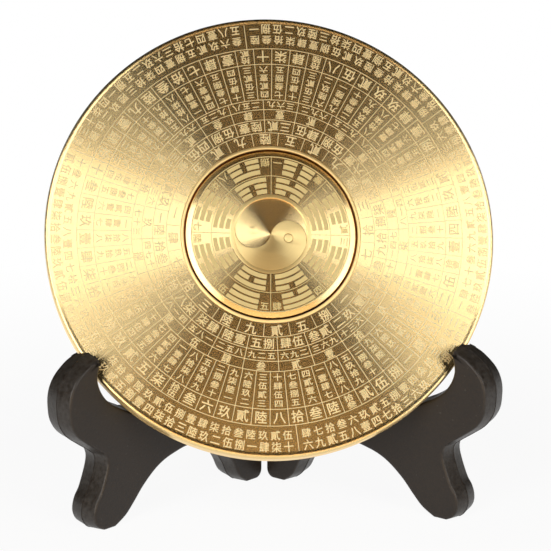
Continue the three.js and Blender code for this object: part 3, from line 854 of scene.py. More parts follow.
class COMPASS_OT_plate(CompassPiece, bpy.types.Operator):
    """Turned brass plate with lip, bead, pocket and bearing seat"""

    bl_idname = "compass.plate"
    bl_label = "Dial plate"

    def execute(self, context):
        sizes = self.plate
        seat_high = in_frame("bearing_outer_ring", PLATE)[1]
        cover_high = in_frame("bearing_cover", PLATE)[1]
        rim, back = PLATE_HIGH.x, PLATE_LOW.z
        recess, recess_floor = cover_high.x + 2 * SEAT_SLACK, cover_high.z + SEAT_SLACK
        seat, seat_floor = seat_high.x + SEAT_SLACK, seat_high.z + SEAT_SLACK
        ledge, floor = seat * LEDGE_SHARE, -sizes.pocket_depth
        pocket, bead = sizes.pocket_radius, sizes.bead_width
        crest, rise = sizes.lip_crest, sizes.lip_rise
        plate = lathe([
            (ledge, floor, 0),
            (pocket, floor, 0.2 * MM),
            (pocket, 0, 0.1 * MM),
            (sizes.lip_inner, 0, 0.3 * MM),
            (crest - CREST_HALF, rise, 0.25 * MM),
            (crest + CREST_HALF, rise, 0.2 * MM),
            (rim - LIP_FALL, 0, 0.2 * MM),
            (rim, -sizes.edge_round, 0.3 * MM),
            (rim, back, sizes.edge_round),
            (recess, back, 0.15 * MM),
            (recess, recess_floor, 0),
            (seat, recess_floor, 0),
            (seat, seat_floor, 0),
            (ledge, seat_floor, 0),
        ], sizes.segments)
        self.engraved("plate", plate, "compass_plate", "turned_brass", ["dial_plate"])
        bead_ring = lathe([
            (pocket, -BEAD_ROOT, 0),
            (pocket, sizes.bead_rise, 0.3 * MM),
            (pocket + bead * BEAD_TOP, sizes.bead_rise, 0.4 * MM),
            (pocket + bead, 0, 0),
            (pocket + bead, -BEAD_ROOT, 0),
        ], sizes.segments)
        self.engraved("bead", bead_ring, "compass_plate", "polished_brass")
        return {"FINISHED"}


class COMPASS_OT_plate_lines(CompassPiece, bpy.types.Operator):
    """Etched circles and radial lines of the plate"""

    bl_idname = "compass.plate_lines"
    bl_label = "Plate lines"

    def execute(self, context):
        sizes = self.plate
        relief = self.new_relief()
        width = sizes.line_width
        for ring in ("name", "column", "count", "pair", "single"):
            relief.circle(getattr(sizes, f"{ring}_outer"), width, sizes.segments)
        relief.circle(sizes.count_inner, width, sizes.segments)
        count_ends = (sizes.single_outer, sizes.pair_outer, sizes.count_inner, sizes.count_outer)
        spokes = (
            (LEGEND_PARTS, LEGEND_START, (sizes.name_outer, sizes.legend_outer)),
            (NAME_CELLS, NAME_START, (sizes.count_outer, sizes.column_outer, sizes.name_outer)),
            (COUNT_CELLS, COUNT_START, count_ends),
            (COUNT_CELLS, SINGLE_START, (sizes.single_inner, sizes.single_outer)),
        )
        for count, start, ends in spokes:
            for i in range(count):
                clock = start + FULL_TURN * i / count
                for inner, outer in zip(ends, ends[1:]):
                    relief.spoke(inner + width / 2, outer - width / 2, clock, width)
        self.engraved("plate_lines", relief.mesh(), "compass_plate", "etched_brass")
        return {"FINISHED"}


class COMPASS_OT_legend(CompassPiece, bpy.types.Operator):
    """Two rows of numerals along the rim"""

    bl_idname = "compass.legend"
    bl_label = "Rim numerals"

    def execute(self, context):
        relief = self.new_relief()
        part = FULL_TURN / LEGEND_PARTS
        for row, (drop, size, count) in enumerate(RIM_ROWS):
            radius = self.plate.legend_outer - drop
            step = (part - 2 * RIM_MARGIN) / (count - 1)
            for segment in range(LEGEND_PARTS):
                start = LEGEND_START + part * segment + RIM_MARGIN
                for i in range(count):
                    formal = (i * i + segment + row) % 3 != 0
                    word = digit(i * 7 + segment * 3 + row * 5 + 1, formal)
                    relief.numeral(word, radius, start + step * i, size)
        self.engraved("rim_numerals", relief.mesh(), "compass_plate", "etched_brass")
        return {"FINISHED"}


class COMPASS_OT_names(CompassPiece, bpy.types.Operator):
    """Ring of 64 numbers and the ring of 64 columns inside it"""

    bl_idname = "compass.names"
    bl_label = "Numbered rings"

    def execute(self, context):
        sizes = self.plate
        relief = self.new_relief()
        cell = FULL_TURN / NAME_CELLS
        quarter = NAME_CELLS // 4
        name_middle = (sizes.name_outer + sizes.column_outer) / 2
        pitch = (sizes.column_outer - sizes.count_outer - COLUMN_MARGIN) / 4
        first = sizes.count_outer + COLUMN_MARGIN / 2 + pitch / 2
        for i in range(NAME_CELLS):
            clock = NAME_START + cell * (i + 0.5)
            words = number_words(i * 5 % quarter + 1) if i % 5 == 3 else digit(i * 7 + i // 8, i % 4 > 0)
            if len(words) == 1:
                relief.numeral(words, name_middle, clock, NAME_SIZE)
            else:
                for place, word in zip((0.5, -0.5), words):
                    relief.numeral(word, name_middle - place * DOUBLE_PITCH, clock, DOUBLE_NAME_SIZE)
            column = (digit(i * 3 + 4), digit(i + 2, True), digit(i * 7 + 1, True), digit(i * 9 + 6))
            for row, word in enumerate(column):
                relief.numeral(word, first + pitch * row, clock, COLUMN_SIZE)
        self.engraved("ring_numerals", relief.mesh(), "compass_plate", "etched_brass")
        return {"FINISHED"}


def has_three_outside(i):
    """Whether a cell of the count rings has its three numerals in the outer ring"""
    middle = math.degrees(COUNT_START + FULL_TURN * (i + 0.5) / COUNT_CELLS)
    middle = (middle + 180) % 360 - 180
    return any(low < middle < high for low, high in THREE_OUTSIDE)


class COMPASS_OT_counts(CompassPiece, bpy.types.Operator):
    """Inner rings of counts, pairs and single marks, with their plain cells"""

    bl_idname = "compass.counts"
    bl_label = "Count rings"

    def execute(self, context):
        sizes = self.plate
        relief = self.new_relief()
        cell = FULL_TURN / COUNT_CELLS
        outer, inner = (sizes.count_inner + sizes.count_outer) / 2, (sizes.pair_outer + sizes.count_inner) / 2
        pair = (sizes.pair_outer + sizes.single_outer) / 2
        single = (sizes.single_inner + sizes.single_outer) / 2
        for i in range(COUNT_CELLS):
            clock = COUNT_START + cell * (i + 0.5)
            three, one = (outer, inner) if has_three_outside(i) else (inner, outer)
            for place in (-1, 0, 1):
                turn = place * COUNT_PITCH / three
                relief.numeral(digit(i * 3 + place * 3 + 6), three, clock - turn, COUNT_SIZE)
            relief.numeral(digit(i + 1, True), one, clock, TOTAL_SIZE)
            for place, word in ((-0.5, digit(i + 3, i % 3 > 0)), (0.5, digit(i * 3 + 2, True))):
                relief.numeral(word, pair, clock - place * PAIR_PITCH / pair, PAIR_SIZE)
            beside = SINGLE_START + cell * (i + 0.5)
            relief.numeral(digit(i * 7 + 5, i % 2 > 0), single, beside, SINGLE_SIZE)
        self.engraved("count_numerals", relief.mesh(), "compass_plate", "etched_brass")
        return {"FINISHED"}


# How far the sunk field goes past the taiji, and the bore for the spindle: share of its radius, and slack
FIELD_GAP = 0.3 * MM
STEM_SHARE = 0.79
STEM_SLACK = 0.05 * MM
# Heights of the tops of the two eyes of the taiji, and the gap round them
LEFT_EYE_TOP = -0.42 * MM
RIGHT_EYE_TOP = -0.05 * MM
EYE_GAP = 0.06 * MM
EYE_FACETS = 48
# Depths of the roots of the eyes and of the raised half, as shares of the taiji's depth
EYE_ROOT = 1.2
HALF_ROOT = 1.5
# How far the raised half goes past the taiji's radius, into the wall of the field
HALF_OVERLAP = 0.34 * MM


class COMPASS_OT_centre_dial(CompassPiece, bpy.types.Operator):
    """Bevelled centre dial with its sunk round field and the eye in it"""

    bl_idname = "compass.centre_dial"
    bl_label = "Centre dial"

    def execute(self, context):
        sizes = self.dial
        rim, back = DIAL_HIGH.x, DIAL_LOW.z
        floor, sunk = -sizes.taiji_depth, sizes.taiji_radius + FIELD_GAP
        stem_high = in_frame("dial_spindle", PLATE)[1]
        stem, stem_top = stem_high.x * STEM_SHARE, stem_high.z + STEM_SLACK
        dial = lathe([
            (0, floor, 0),
            (sunk, floor, 0.1 * MM),
            (sunk, 0, 0.12 * MM),
            (rim - sizes.bevel_width, 0, 0.1 * MM),
            (rim, -sizes.bevel_drop, 0.15 * MM),
            (rim, back, 0.4 * MM),
            (stem, back, 0.1 * MM),
            (stem, stem_top, 0),
            (0, stem_top, 0),
        ], self.plate.segments)
        mesh = joined([dial, taiji_eye(sizes, -1, LEFT_EYE_TOP)])
        self.engraved("dial", mesh, "dial", "turned_brass", ["centre_dial"])
        return {"FINISHED"}


def arc(middle, radius, start, end, steps):
    """Points along an arc, without its last point"""
    turns = [start + (end - start) * i / steps for i in range(steps)]
    return [(middle + radius * math.cos(turn), radius * math.sin(turn)) for turn in turns]


def soft_slab(outlines, low, high, rounding):
    """A flat solid between two heights with rounded edges, of an outline and its holes"""
    curve = bpy.data.curves.new("slab", "CURVE")
    curve.dimensions = "2D"
    curve.fill_mode = "BOTH"
    curve.bevel_depth = rounding
    curve.bevel_resolution = 3
    curve.offset = -rounding
    curve.extrude = (high - low) / 2 - rounding
    for outline in outlines:
        spline = curve.splines.new("POLY")
        spline.points.add(len(outline) - 1)
        for point, (x, y) in zip(spline.points, outline):
            point.co = (x, y, 0, 1)
        spline.use_cyclic_u = True
    holder = in_scene("slab", curve)
    mesh = evaluated(holder)
    mesh.transform(Matrix.Translation((0, 0, (low + high) / 2)))
    tidy(mesh, MICRON)
    bpy.data.objects.remove(holder)
    bpy.data.curves.remove(curve)
    return mesh


def taiji_eye(sizes, side, top):
    """One eye of the taiji, a disc on the left or right side with its top at the given height"""
    radius = sizes.eye_radius - EYE_GAP
    bottom = -sizes.taiji_depth * EYE_ROOT
    disc = lathe(
        [(0, bottom, 0), (radius, bottom, 0), (radius, top, 0.08 * MM), (0, top, 0)], EYE_FACETS, steps=3,
    )
    place = at_clock(side * sizes.taiji_radius / 2, QUARTER_TURN - sizes.taiji_turn)
    disc.transform(Matrix.Translation((place.x, place.y, 0)))
    return disc


class COMPASS_OT_taiji(CompassPiece, bpy.types.Operator):
    """Raised half of the taiji with its eye, and the ring round the taiji"""

    bl_idname = "compass.taiji"
    bl_label = "Taiji"

    def execute(self, context):
        sizes = self.dial
        radius, half = sizes.taiji_radius, sizes.taiji_radius / 2
        low, rounding = -sizes.taiji_depth * HALF_ROOT, sizes.edge_round
        figure = (
            arc(0, radius + HALF_OVERLAP, 0, -math.pi, 2 * EYE_FACETS)
            + arc(-half, half, -math.pi, 0, EYE_FACETS)
            + arc(half, half, math.pi, 0, EYE_FACETS)
        )
        eye_hole = arc(half, sizes.eye_radius, 0, FULL_TURN, EYE_FACETS)
        raised = soft_slab([figure, eye_hole], low, 0, rounding)
        raised.transform(Matrix.Rotation(sizes.taiji_turn, 4, "Z"))
        inner = sizes.ring_radius - sizes.ring_width / 2
        outer = sizes.ring_radius + sizes.ring_width / 2
        rise, soft = self.plate.relief, 0.03 * MM
        ring = lathe(
            [(inner, -rise, 0), (outer, -rise, 0), (outer, rise, soft), (inner, rise, soft)],
            self.plate.segments, steps=2,
        )
        mesh = joined([raised, ring, taiji_eye(sizes, 1, RIGHT_EYE_TOP)])
        self.engraved("taiji", mesh, "dial", "satin_brass")
        return {"FINISHED"}


# Bars of the trigrams clockwise from the first line, from the outside in. A one is a whole bar.
OUTER_TRIGRAMS = ("000", "100", "101", "110", "111", "011", "010", "001")
INNER_TRIGRAMS = ("010", "111", "001", "011", "101", "000", "110", "100")
# Inner and outer radius of each bar in millimetres, from the outside in
OUTER_ROWS = ((24.75, 26.0), (22.75, 24.2), (20.7, 22.15))
INNER_ROWS = ((18.0, 19.4), (15.95, 17.4), (13.9, 15.35))
# Half the width of a bar and the gap of a broken bar, as angles
OUTER_BAR = (math.radians(12.6), math.radians(4.2))
INNER_BAR = (math.radians(17.2), math.radians(6.5))
BAR_STEPS = 8
# Width of the line inside the bevel, and how far the radial lines run into it, over the width of a line
BORDER_WIDTH = 1.5
BORDER_OVERLAP = 0.4
# Place of the numerals beside the outer trigrams
BESIDE_RADIUS = 24.55 * MM
BESIDE_TURN = math.radians(17.6)


class COMPASS_OT_trigrams(CompassPiece, bpy.types.Operator):
    """Two rings of trigrams on the centre dial, with their lines and numerals"""

    bl_idname = "compass.trigrams"
    bl_label = "Trigrams"

    def execute(self, context):
        sizes, width = self.dial, self.plate.line_width
        relief = self.new_relief()
        segments = self.plate.segments // 2
        inner_end = sizes.ring_radius + sizes.ring_width / 2
        relief.circle(sizes.border_radius, width * BORDER_WIDTH, segments)
        relief.circle(sizes.middle_radius, width, segments)
        part = FULL_TURN / TRIGRAMS
        for i in range(TRIGRAMS):
            line = DIAL_START + part * i
            outer_end = sizes.border_radius - width * BORDER_OVERLAP
            relief.spoke(inner_end, sizes.middle_radius - width / 2, line, width)
            relief.spoke(sizes.middle_radius + width / 2, outer_end, line, width)
            clock = line + part / 2
            self.bars(relief, OUTER_TRIGRAMS[i], OUTER_ROWS, clock, *OUTER_BAR)
            self.bars(relief, INNER_TRIGRAMS[i], INNER_ROWS, clock, *INNER_BAR)
            for side in (-1, 1):
                word = digit(i + 1, side > 0)
                relief.numeral(word, BESIDE_RADIUS, clock + side * BESIDE_TURN, DIAL_SIZE)
        self.engraved("dial_figures", relief.mesh(), "dial", "figure_brass")
        return {"FINISHED"}

    @staticmethod
    def bars(relief, code, rows, clock, half, gap):
        """Three bars of one trigram, each whole or broken"""
        for whole, (inner, outer) in zip(code, rows):
            if whole == "1":
                stretches = ((clock - half, clock + half),)
            else:
                stretches = ((clock - half, clock - gap / 2), (clock + gap / 2, clock + half))
            for low, high in stretches:
                relief.sector(inner * MM, outer * MM, low, high, BAR_STEPS)


ROD_FACETS = 64
SMALL_FACETS = 96
COVER_FACETS = 180


def rod(radius, low, high, rounding=0):
    """A round rod on the Z axis"""
    corners = [(0, low, 0), (radius, low, rounding), (radius, high, rounding), (0, high, 0)]
    return lathe(corners, ROD_FACETS, steps=4)


def block(low, high):
    """A plain block between two corners, for cutting"""
    low, high = Vector(low), Vector(high)
    work = bmesh.new()
    place = Matrix.Translation((low + high) / 2) @ Matrix.Diagonal((*(high - low), 1))
    bmesh.ops.create_cube(work, size=1, matrix=place)
    return mesh_from(work)


def shaped(mesh, *cuts):
    """A solid after a row of cuts and additions. Each is an operation and its mesh."""
    holders = [in_scene("shaped", part) for part in (mesh, *(part for _, part in cuts))]
    for (operation, _), cutter in zip(cuts, holders[1:]):
        step = holders[0].modifiers.new("cut", "BOOLEAN")
        step.operation = operation
        step.object = cutter
        step.solver = "EXACT"
    result = evaluated(holders[0])
    for holder in holders:
        bpy.data.objects.remove(holder)
    tidy(result, MICRON)
    return result


# Radial thickness of the bearing's rings, groove radius over ball radius, and steps along the groove
RING_WALL = 1 * MM
GROOVE_SHARE = 1.12
GROOVE_STEPS = 8
# Gap between the cover and the head of the dial's screw
COVER_GAP = 0.3 * MM


class COMPASS_OT_bearing(CompassPiece, bpy.types.Operator):
    """Ball bearing, spindle and cover at the back of the plate"""

    bl_idname = "compass.bearing"
    bl_label = "Bearing"

    def execute(self, context):
        self.ring("inner_ring", "bearing_inner_ring", "dial", 1)
        self.ring("outer_ring", "bearing_outer_ring", "compass_plate", -1)
        for name, node in frame["nodes"].items():
            if name.startswith("bearing_ball"):
                self.ball(name, node)
        low, high = in_frame("bearing_cover", PLATE)
        hole = in_frame("dial_screw", PLATE)[1].x + COVER_GAP
        cover = lathe([
            (hole, low.z, 0.12 * MM), (high.x, low.z, 0.15 * MM), (high.x, high.z, 0), (hole, high.z, 0),
        ], COVER_FACETS, steps=3)
        as_piece("cover", cover, PLATE, "compass_plate", "turned_brass", ["bearing_cover"])
        for name, slot in (("dial_spindle", "turned_steel"), ("bearing_cage", "cage_steel")):
            node = frame["nodes"][name]
            node.data.materials.clear()
            node.data.materials.append(finish("bright_steel"))
        return {"FINISHED"}

    def ring(self, name, node, body, side):
        """One ring of the bearing, with the groove for the balls"""
        low, high = in_frame(node, PLATE)
        ball_low, ball_high = in_frame("bearing_ball_1", PLATE)
        groove = (ball_high.z - ball_low.z) / 2 * GROOVE_SHARE
        pitch = (ball_high.y + ball_low.y) / 2
        middle = (low.z + high.z) / 2
        wall, track = high.x, high.x - RING_WALL
        if side > 0:
            wall, track = track, wall
        half = math.acos(min(1, abs(pitch - track) / groove))
        line = rounded([(wall, low.z, 0.15 * MM), (wall, high.z, 0.15 * MM), (track, high.z, 0)], steps=3)
        for i in range(GROOVE_STEPS + 1):
            turn = half - 2 * half * i / GROOVE_STEPS
            line.append(Vector((pitch - side * groove * math.cos(turn), middle + groove * math.sin(turn))))
        line.append(Vector((track, low.z)))
        mesh = turned(line, SMALL_FACETS)
        as_piece(name, mesh, PLATE, body, "bright_steel", [node])

    def ball(self, name, node):
        """One ball of the bearing"""
        low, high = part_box(name)
        work = bmesh.new()
        bmesh.ops.create_icosphere(work, subdivisions=4, radius=(high.x - low.x) / 2)
        place = Matrix.Translation((low + high) / 2)
        body = node["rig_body"]
        as_piece(f"{name}_round", mesh_from(work), place, body, "bright_steel", [name])


# Shank radius of a countersunk and of a flat screw, depth of the heads, and the slot's half width and depth
SCREW_SHANKS = {True: 0.8 * MM, False: 1.0 * MM}
HEAD_DEPTH = 0.7 * MM
SLOT_HALF = 0.2 * MM
SLOT_DEPTH = 0.35 * MM


class COMPASS_OT_screws(CompassPiece, bpy.types.Operator):
    """Slotted screws of the dial and of the bearing cover"""

    bl_idname = "compass.screws"
    bl_label = "Screws"

    def execute(self, context):
        for name, node in frame["nodes"].items():
            if name.startswith("cover_screw"):
                self.screw(name, node, True)
        self.screw("dial_screw", frame["nodes"]["dial_screw"], False)
        return {"FINISHED"}

    def screw(self, name, node, countersunk):
        """One screw, from its own box in the plate's frame"""
        low, high = in_frame(name, PLATE)
        middle = (low + high) / 2
        head = (high.x - low.x) / 2
        back, top, under = low.z, high.z, low.z + HEAD_DEPTH
        shank = SCREW_SHANKS[countersunk]
        solid = lathe([
            (0, back, 0),
            (head, back, 0.1 * MM),
            (shank, under, 0) if countersunk else (head, under, 0.08 * MM),
            (shank, under, 0),
            (shank, top, 0.15 * MM),
            (0, top, 0),
        ], SMALL_FACETS, steps=3)
        slot = block((-2 * head, -SLOT_HALF, back - MM), (2 * head, SLOT_HALF, back + SLOT_DEPTH))
        mesh = shaped(solid, ("DIFFERENCE", slot))
        place = PLATE @ Matrix.Translation((middle.x, middle.y, 0))
        as_piece(f"{name}_head", mesh, place, node["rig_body"], "screw_steel", [name])


# Points of a board's outline. Those of the hook are shares of its reach and rise, from the plate's seat.
HOOK_BACK = (
    (0.346, -0.91), (0.363, -0.711), (0.473, -0.592), (0.658, -0.438), (0.857, -0.254), (0.97, -0.04),
    (1, 0.194), (0.992, 0.393), (0.937, 0.572), (0.84, 0.716), (0.684, 0.856), (0.561, 0.925), (0.473, 0.965),
)
HOOK_FRONT = (
    (0.473, 0.965), (0.456, 0.89), (0.468, 0.811), (0.489, 0.716), (0.494, 0.617), (0.473, 0.507),
    (0.426, 0.385), (0.346, 0.254), (0.232, 0.139), (0.101, 0.045),
)
NOTCH_FLOOR = ((-0.057, -0.05), (-0.169, -0.095), (-0.338, -0.134))
# Shares of the seat's distance and of the height at which the upright meets the plate
ARM = (
    (0.75, 0.335), (0.625, 0.352), (0.516, 0.402), (0.43, 0.484), (0.367, 0.595),
    (0.317, 0.725), (0.278, 0.845),
)
# Shares of the foot span and of the arch height
ARCH = (
    (0.055, 0.149), (0.105, 0.46), (0.2, 0.82), (0.378, 1), (0.514, 0.94), (0.616, 0.807),
    (0.709, 0.564), (0.779, 0.307), (0.833, 0.129),
)
# Distances out and up from the front foot's flat, in millimetres
NOSE = ((2.688, 1.496), (4.224, 4.012), (4.416, 6.8), (3.392, 9.996), (1.28, 13.328))
REAR_FOOT = 7.8 * MM
REAR_CORNER = (2.8 * MM, 3.2 * MM)
REAR_CORNER_STEPS = 8
REAR_EDGE = 0.6 * MM
FRONT_FLAT = 4.6 * MM
REST_GAP = 0.3 * MM
BACKREST_GAP = 0.4 * MM
HOOK_GAP = 0.45 * MM
CONTACT_SPAN = 2.6 * MM
UPRIGHT_TOP = 5 * MM
SHORTEST_EDGE = 0.01 * MM


def curve_through(points, steps):
    """Points along a smooth curve that passes through the given ones"""
    points = [Vector(p) for p in points]
    last = len(points) - 1
    line = []
    for i in range(last):
        before, start, end, after = (points[min(last, max(0, i + k))] for k in (-1, 0, 1, 2))
        handles = start + (end - before) / 6, end - (after - start) / 6
        line += interpolate_bezier(start, *handles, end, steps + 1)[:-1]
    return line + [points[-1]]


def plate_seat(stand):
    """Where the rim of the plate's back meets a board's inner face: distance from the hinge, and height"""
    along = Vector((math.sin(FOLD), -math.cos(FOLD), 0))
    outward = Vector((math.cos(FOLD), math.sin(FOLD), 0))
    hinge = HINGE.translation
    middle = PLATE @ Vector((0, 0, PLATE_LOW.z))
    plate_up = (PLATE.to_3x3() @ Vector((0, 1, 0))).normalized()
    radius = PLATE_HIGH.x
    sideways, upward = radius * outward.x, radius * outward.dot(plate_up)
    needed = outward.dot(hinge) + stand.clearance - outward.dot(middle)
    swing = math.asin(needed / math.hypot(sideways, upward)) + math.atan2(upward, sideways)
    point = middle + Vector((radius * math.sin(swing), 0, 0)) - plate_up * (radius * math.cos(swing))
    slope = math.cos(FOLD) * plate_up.z / plate_up.y
    return along.dot(point - hinge), point.z, slope


def board_outline(stand):
    """Outline of a board's flat face, from the rear foot round under the arch"""
    seat, height, slope = plate_seat(stand)
    lean = math.hypot(1, slope / math.cos(FOLD))
    contact = height + (seat - stand.upright_depth) * slope - BACKREST_GAP * lean
    drop = CONTACT_SPAN * slope
    flat_end = REAR_FOOT + stand.foot_span - FRONT_FLAT / 2
    depth, top = stand.upright_depth, contact + UPRIGHT_TOP

    def hook(shares):
        return [(seat + out * stand.hook_reach, height + up * stand.hook_rise) for out, up in shares]

    wide, tall = REAR_CORNER
    corner = [
        (REAR_EDGE + wide * (1 - math.cos(turn)), tall * (1 - math.sin(turn)))
        for turn in (QUARTER_TURN * i / REAR_CORNER_STEPS for i in range(REAR_CORNER_STEPS + 1))
    ]
    arch = [(REAR_FOOT + out * stand.foot_span, up * stand.arch_height) for out, up in ARCH]
    front = [(flat_end, 0)] + [(flat_end + out * MM, up * MM) for out, up in NOSE] + hook(HOOK_BACK)
    inner = [
        *hook(HOOK_FRONT), (seat, height - REST_GAP), *hook(NOTCH_FLOOR),
        *((out * seat, up * contact) for out, up in ARM),
        (depth + CONTACT_SPAN, contact - drop),
        (depth, contact),
        (depth - CONTACT_SPAN, contact + drop * (1 - stand.draft / CONTACT_SPAN)),
        (depth / 2, top),
        (REAR_EDGE + CONTACT_SPAN, top - stand.draft),
        (REAR_EDGE, contact),
    ]
    line = [Vector(p) for p in corner]
    for part in ([(REAR_FOOT, 0), *arch, (flat_end - FRONT_FLAT, 0)], front, inner):
        line += curve_through(part, stand.steps)
    return [p for p, after in zip(line, line[1:] + line[:1]) if (p - after).length > SHORTEST_EDGE]


def way_out(line, i):
    """The way out of a closed outline at one of its points, longer at a corner"""
    before = (line[i] - line[i - 1]).normalized()
    after = (line[(i + 1) % len(line)] - line[i]).normalized()
    sides = Vector((before.y, -before.x)), Vector((after.y, -after.x))
    middle = (sides[0] + sides[1]).normalized()
    return middle / max(0.5, middle.dot(sides[0]))


def moulding(outline, profile):
    """A flat solid whose edge follows a profile of (distance out, depth) points"""
    ways = [way_out(outline, i) for i in range(len(outline))]
    count = len(outline)
    points = [
        (place.x + way.x * out, depth, place.y + way.y * out)
        for out, depth in profile
        for place, way in zip(outline, ways)
    ]
    faces = [list(range(count)), [len(points) - 1 - i for i in range(count)]]
    for row in range(0, len(points) - count, count):
        for i in range(count):
            k = (i + 1) % count
            faces.append([row + i, row + k, row + count + k, row + count + i])
    return mesh_of(points, faces)


# Knuckles of the hinge on both boards, and what the boards leave free below and above them
KNUCKLES = 5
FREE_BELOW = 2.6 * MM
FREE_ABOVE = 2.2 * MM
# Place of a knuckle's web from the hinge and from the board's face, and slack of the pin in its bore
WEB_START = 0.13 * MM
WEB_DEPTH = 0.05 * MM
BORE_SLACK = 0.08 * MM
# Facets of the space that the lifted plate takes, and its height
LIFT_FACETS = 180
LIFT_SPACE = Vector((0, 0, 40 * MM))


class COMPASS_OT_stand(CompassPiece, bpy.types.Operator):
    """Moulded boards of the stand, with draft, parting line, soft edges and knuckles"""

    bl_idname = "compass.stand"
    bl_label = "Stand boards"

    def execute(self, context):
        for side, first_knuckle in (("left", 0), ("right", 1)):
            self.board(context.scene.compass_stand_sizes, side, first_knuckle)
        return {"FINISHED"}

    def board(self, stand, side, first_knuckle):
        """One board, drawn as the right one and mirrored for the left"""
        near, far = stand.clearance, stand.clearance + stand.thickness
        half = (stand.thickness - stand.parting_width) / 2
        edge, draft, shoulder = stand.edge_round, stand.draft, stand.draft - stand.parting_rise
        profile = rounded([
            (-2 * edge, near, 0),
            (0, near, edge),
            (shoulder, near + half, 0),
            (draft, near + half, 0),
            (draft, far - half, 0),
            (shoulder, far - half, 0),
            (0, far, edge),
            (-2 * edge, far, 0),
        ])
        slab = moulding(board_outline(stand), profile)
        ground = block((-1, -1, -0.1), (1, 1, 0))
        pitch = stand.knuckle_length + stand.knuckle_gap
        low = stand.knuckle_start - FREE_BELOW
        high = stand.knuckle_start + KNUCKLES * pitch + FREE_ABOVE
        mesh = shaped(
            slab,
            ("DIFFERENCE", ground),
            ("DIFFERENCE", self.lifted_plate()),
            ("DIFFERENCE", rod(stand.knuckle_radius + stand.knuckle_gap, low, high)),
            ("UNION", self.knuckles(stand, first_knuckle)),
        )
        mesh.transform(self.board_place("right"))
        if side == "left":
            mesh.transform(Matrix.Diagonal((-1, 1, 1, 1)))
            mesh.flip_normals()
        back = self.board_place(side)
        mesh.transform(back.inverted())
        node = f"{side}_board"
        as_piece(f"{side}_skin", mesh, back, node, "black_plastic", [node])

    def lifted_plate(self):
        """Space that the plate takes while it is lifted out, in the right board's frame"""
        work = bmesh.new()
        radius = PLATE_HIGH.x + HOOK_GAP
        for i in range(LIFT_FACETS):
            turn = FULL_TURN * i / LIFT_FACETS
            for depth in (PLATE_HIGH.z + HOOK_GAP, PLATE_LOW.z - REST_GAP):
                low = PLATE @ Vector((radius * math.cos(turn), radius * math.sin(turn), depth))
                work.verts.new(low)
                work.verts.new(low + LIFT_SPACE)
        hull = bmesh.ops.convex_hull(work, input=work.verts)
        spare = {v for v in hull["geom_interior"] + hull["geom_unused"] if isinstance(v, bmesh.types.BMVert)}
        bmesh.ops.delete(work, geom=list(spare), context="VERTS")
        mesh = mesh_from(work)
        mesh.transform(self.board_place("right").inverted())
        return mesh

    @staticmethod
    def knuckles(stand, first):
        """The knuckles of one board, every other one up the pin, with their webs"""
        parts = []
        radius, pitch = stand.knuckle_radius, stand.knuckle_length + stand.knuckle_gap
        for i in range(first, KNUCKLES, 2):
            low = stand.knuckle_start + i * pitch
            high = low + stand.knuckle_length
            web = block(
                (WEB_START, stand.clearance + WEB_DEPTH, low), (2 * radius, stand.clearance + radius, high),
            )
            bore = rod(stand.pin_radius + BORE_SLACK, low - MM, high + MM)
            parts.append(shaped(rod(radius, low, high, 0.4 * MM), ("UNION", web), ("DIFFERENCE", bore)))
        return joined(parts)

    @staticmethod
    def board_place(side):
        """Matrix about the hinge that lays a board's flat face along the X axis"""
        turn = FOLD - QUARTER_TURN if side == "right" else QUARTER_TURN - FOLD
        return HINGE @ Matrix.Rotation(turn, 4, "Z")


class COMPASS_OT_hinge(CompassPiece, bpy.types.Operator):
    """Headed pin of the hinge and its push-on ring"""

    bl_idname = "compass.hinge"
    bl_label = "Hinge pin"

    def execute(self, context):
        low, high = in_frame("hinge_pin", HINGE)
        shank, head_depth = context.scene.compass_stand_sizes.pin_radius, 1.2 * MM
        pin = lathe([
            (0, low.z, 0),
            (shank, low.z, 0.25 * MM),
            (shank, high.z - head_depth, 0),
            (high.x, high.z - head_depth, 0.1 * MM),
            (high.x, high.z, 0.45 * MM),
            (0, high.z, 0),
        ], SMALL_FACETS)
        as_piece("pin", pin, HINGE, "stand_hinge", "bright_steel", ["hinge_pin"])
        low, high = in_frame("pin_cap", HINGE)
        bore, soft = shank + 0.04 * MM, 0.1 * MM
        cap = lathe([
            (bore, low.z, soft), (high.x, low.z, 0.35 * MM), (high.x, high.z, soft), (bore, high.z, 0),
        ], SMALL_FACETS)
        as_piece("cap", cap, HINGE, "stand_hinge", "bright_steel", ["pin_cap"])
        return {"FINISHED"}


# Lamps by name: azimuth to the right of the front, elevation, both in degrees, distance, width and height
# in metres, radiance and colour
LAMPS = {
    "right_lamp": (38, 21, 0.9, (0.42, 0.68), 4.6, (1, 1, 1)),
    "left_lamp": (-35, 23, 0.9, (0.46, 0.80), 5.2, (1, 1, 1)),
    "front_fill": (-5, 5, 1.6, (1.4, 0.45), 0.27, (1, 0.64, 0.27)),
    "low_fill": (-5, -8, 0.34, (0.5, 0.08), 3.4, (1, 0.67, 0.33)),
}
FAINT_LIGHT = 0.012
PLAIN_WHITE = 1
NEAREST, FARTHEST = 0.01, 30
FLOOR_FACETS = 96


def lamp(name, azimuth, elevation, distance, size, radiance, tint):
    """A soft rectangular lamp that faces the middle of the plate"""
    turn, rise = math.radians(azimuth), math.radians(elevation)
    away = Vector((math.sin(turn) * math.cos(rise), -math.cos(turn) * math.cos(rise), math.sin(rise)))
    light = bpy.data.lights.new(name, "AREA")
    light.shape = "RECTANGLE"
    light.size, light.size_y = size
    light.energy = radiance * math.pi * size[0] * size[1]
    light.color = tint
    face = (-away).to_track_quat("-Z", "Y").to_matrix().to_4x4()
    in_scene(name, light).matrix_world = Matrix.Translation(PLATE.translation + away * distance) @ face


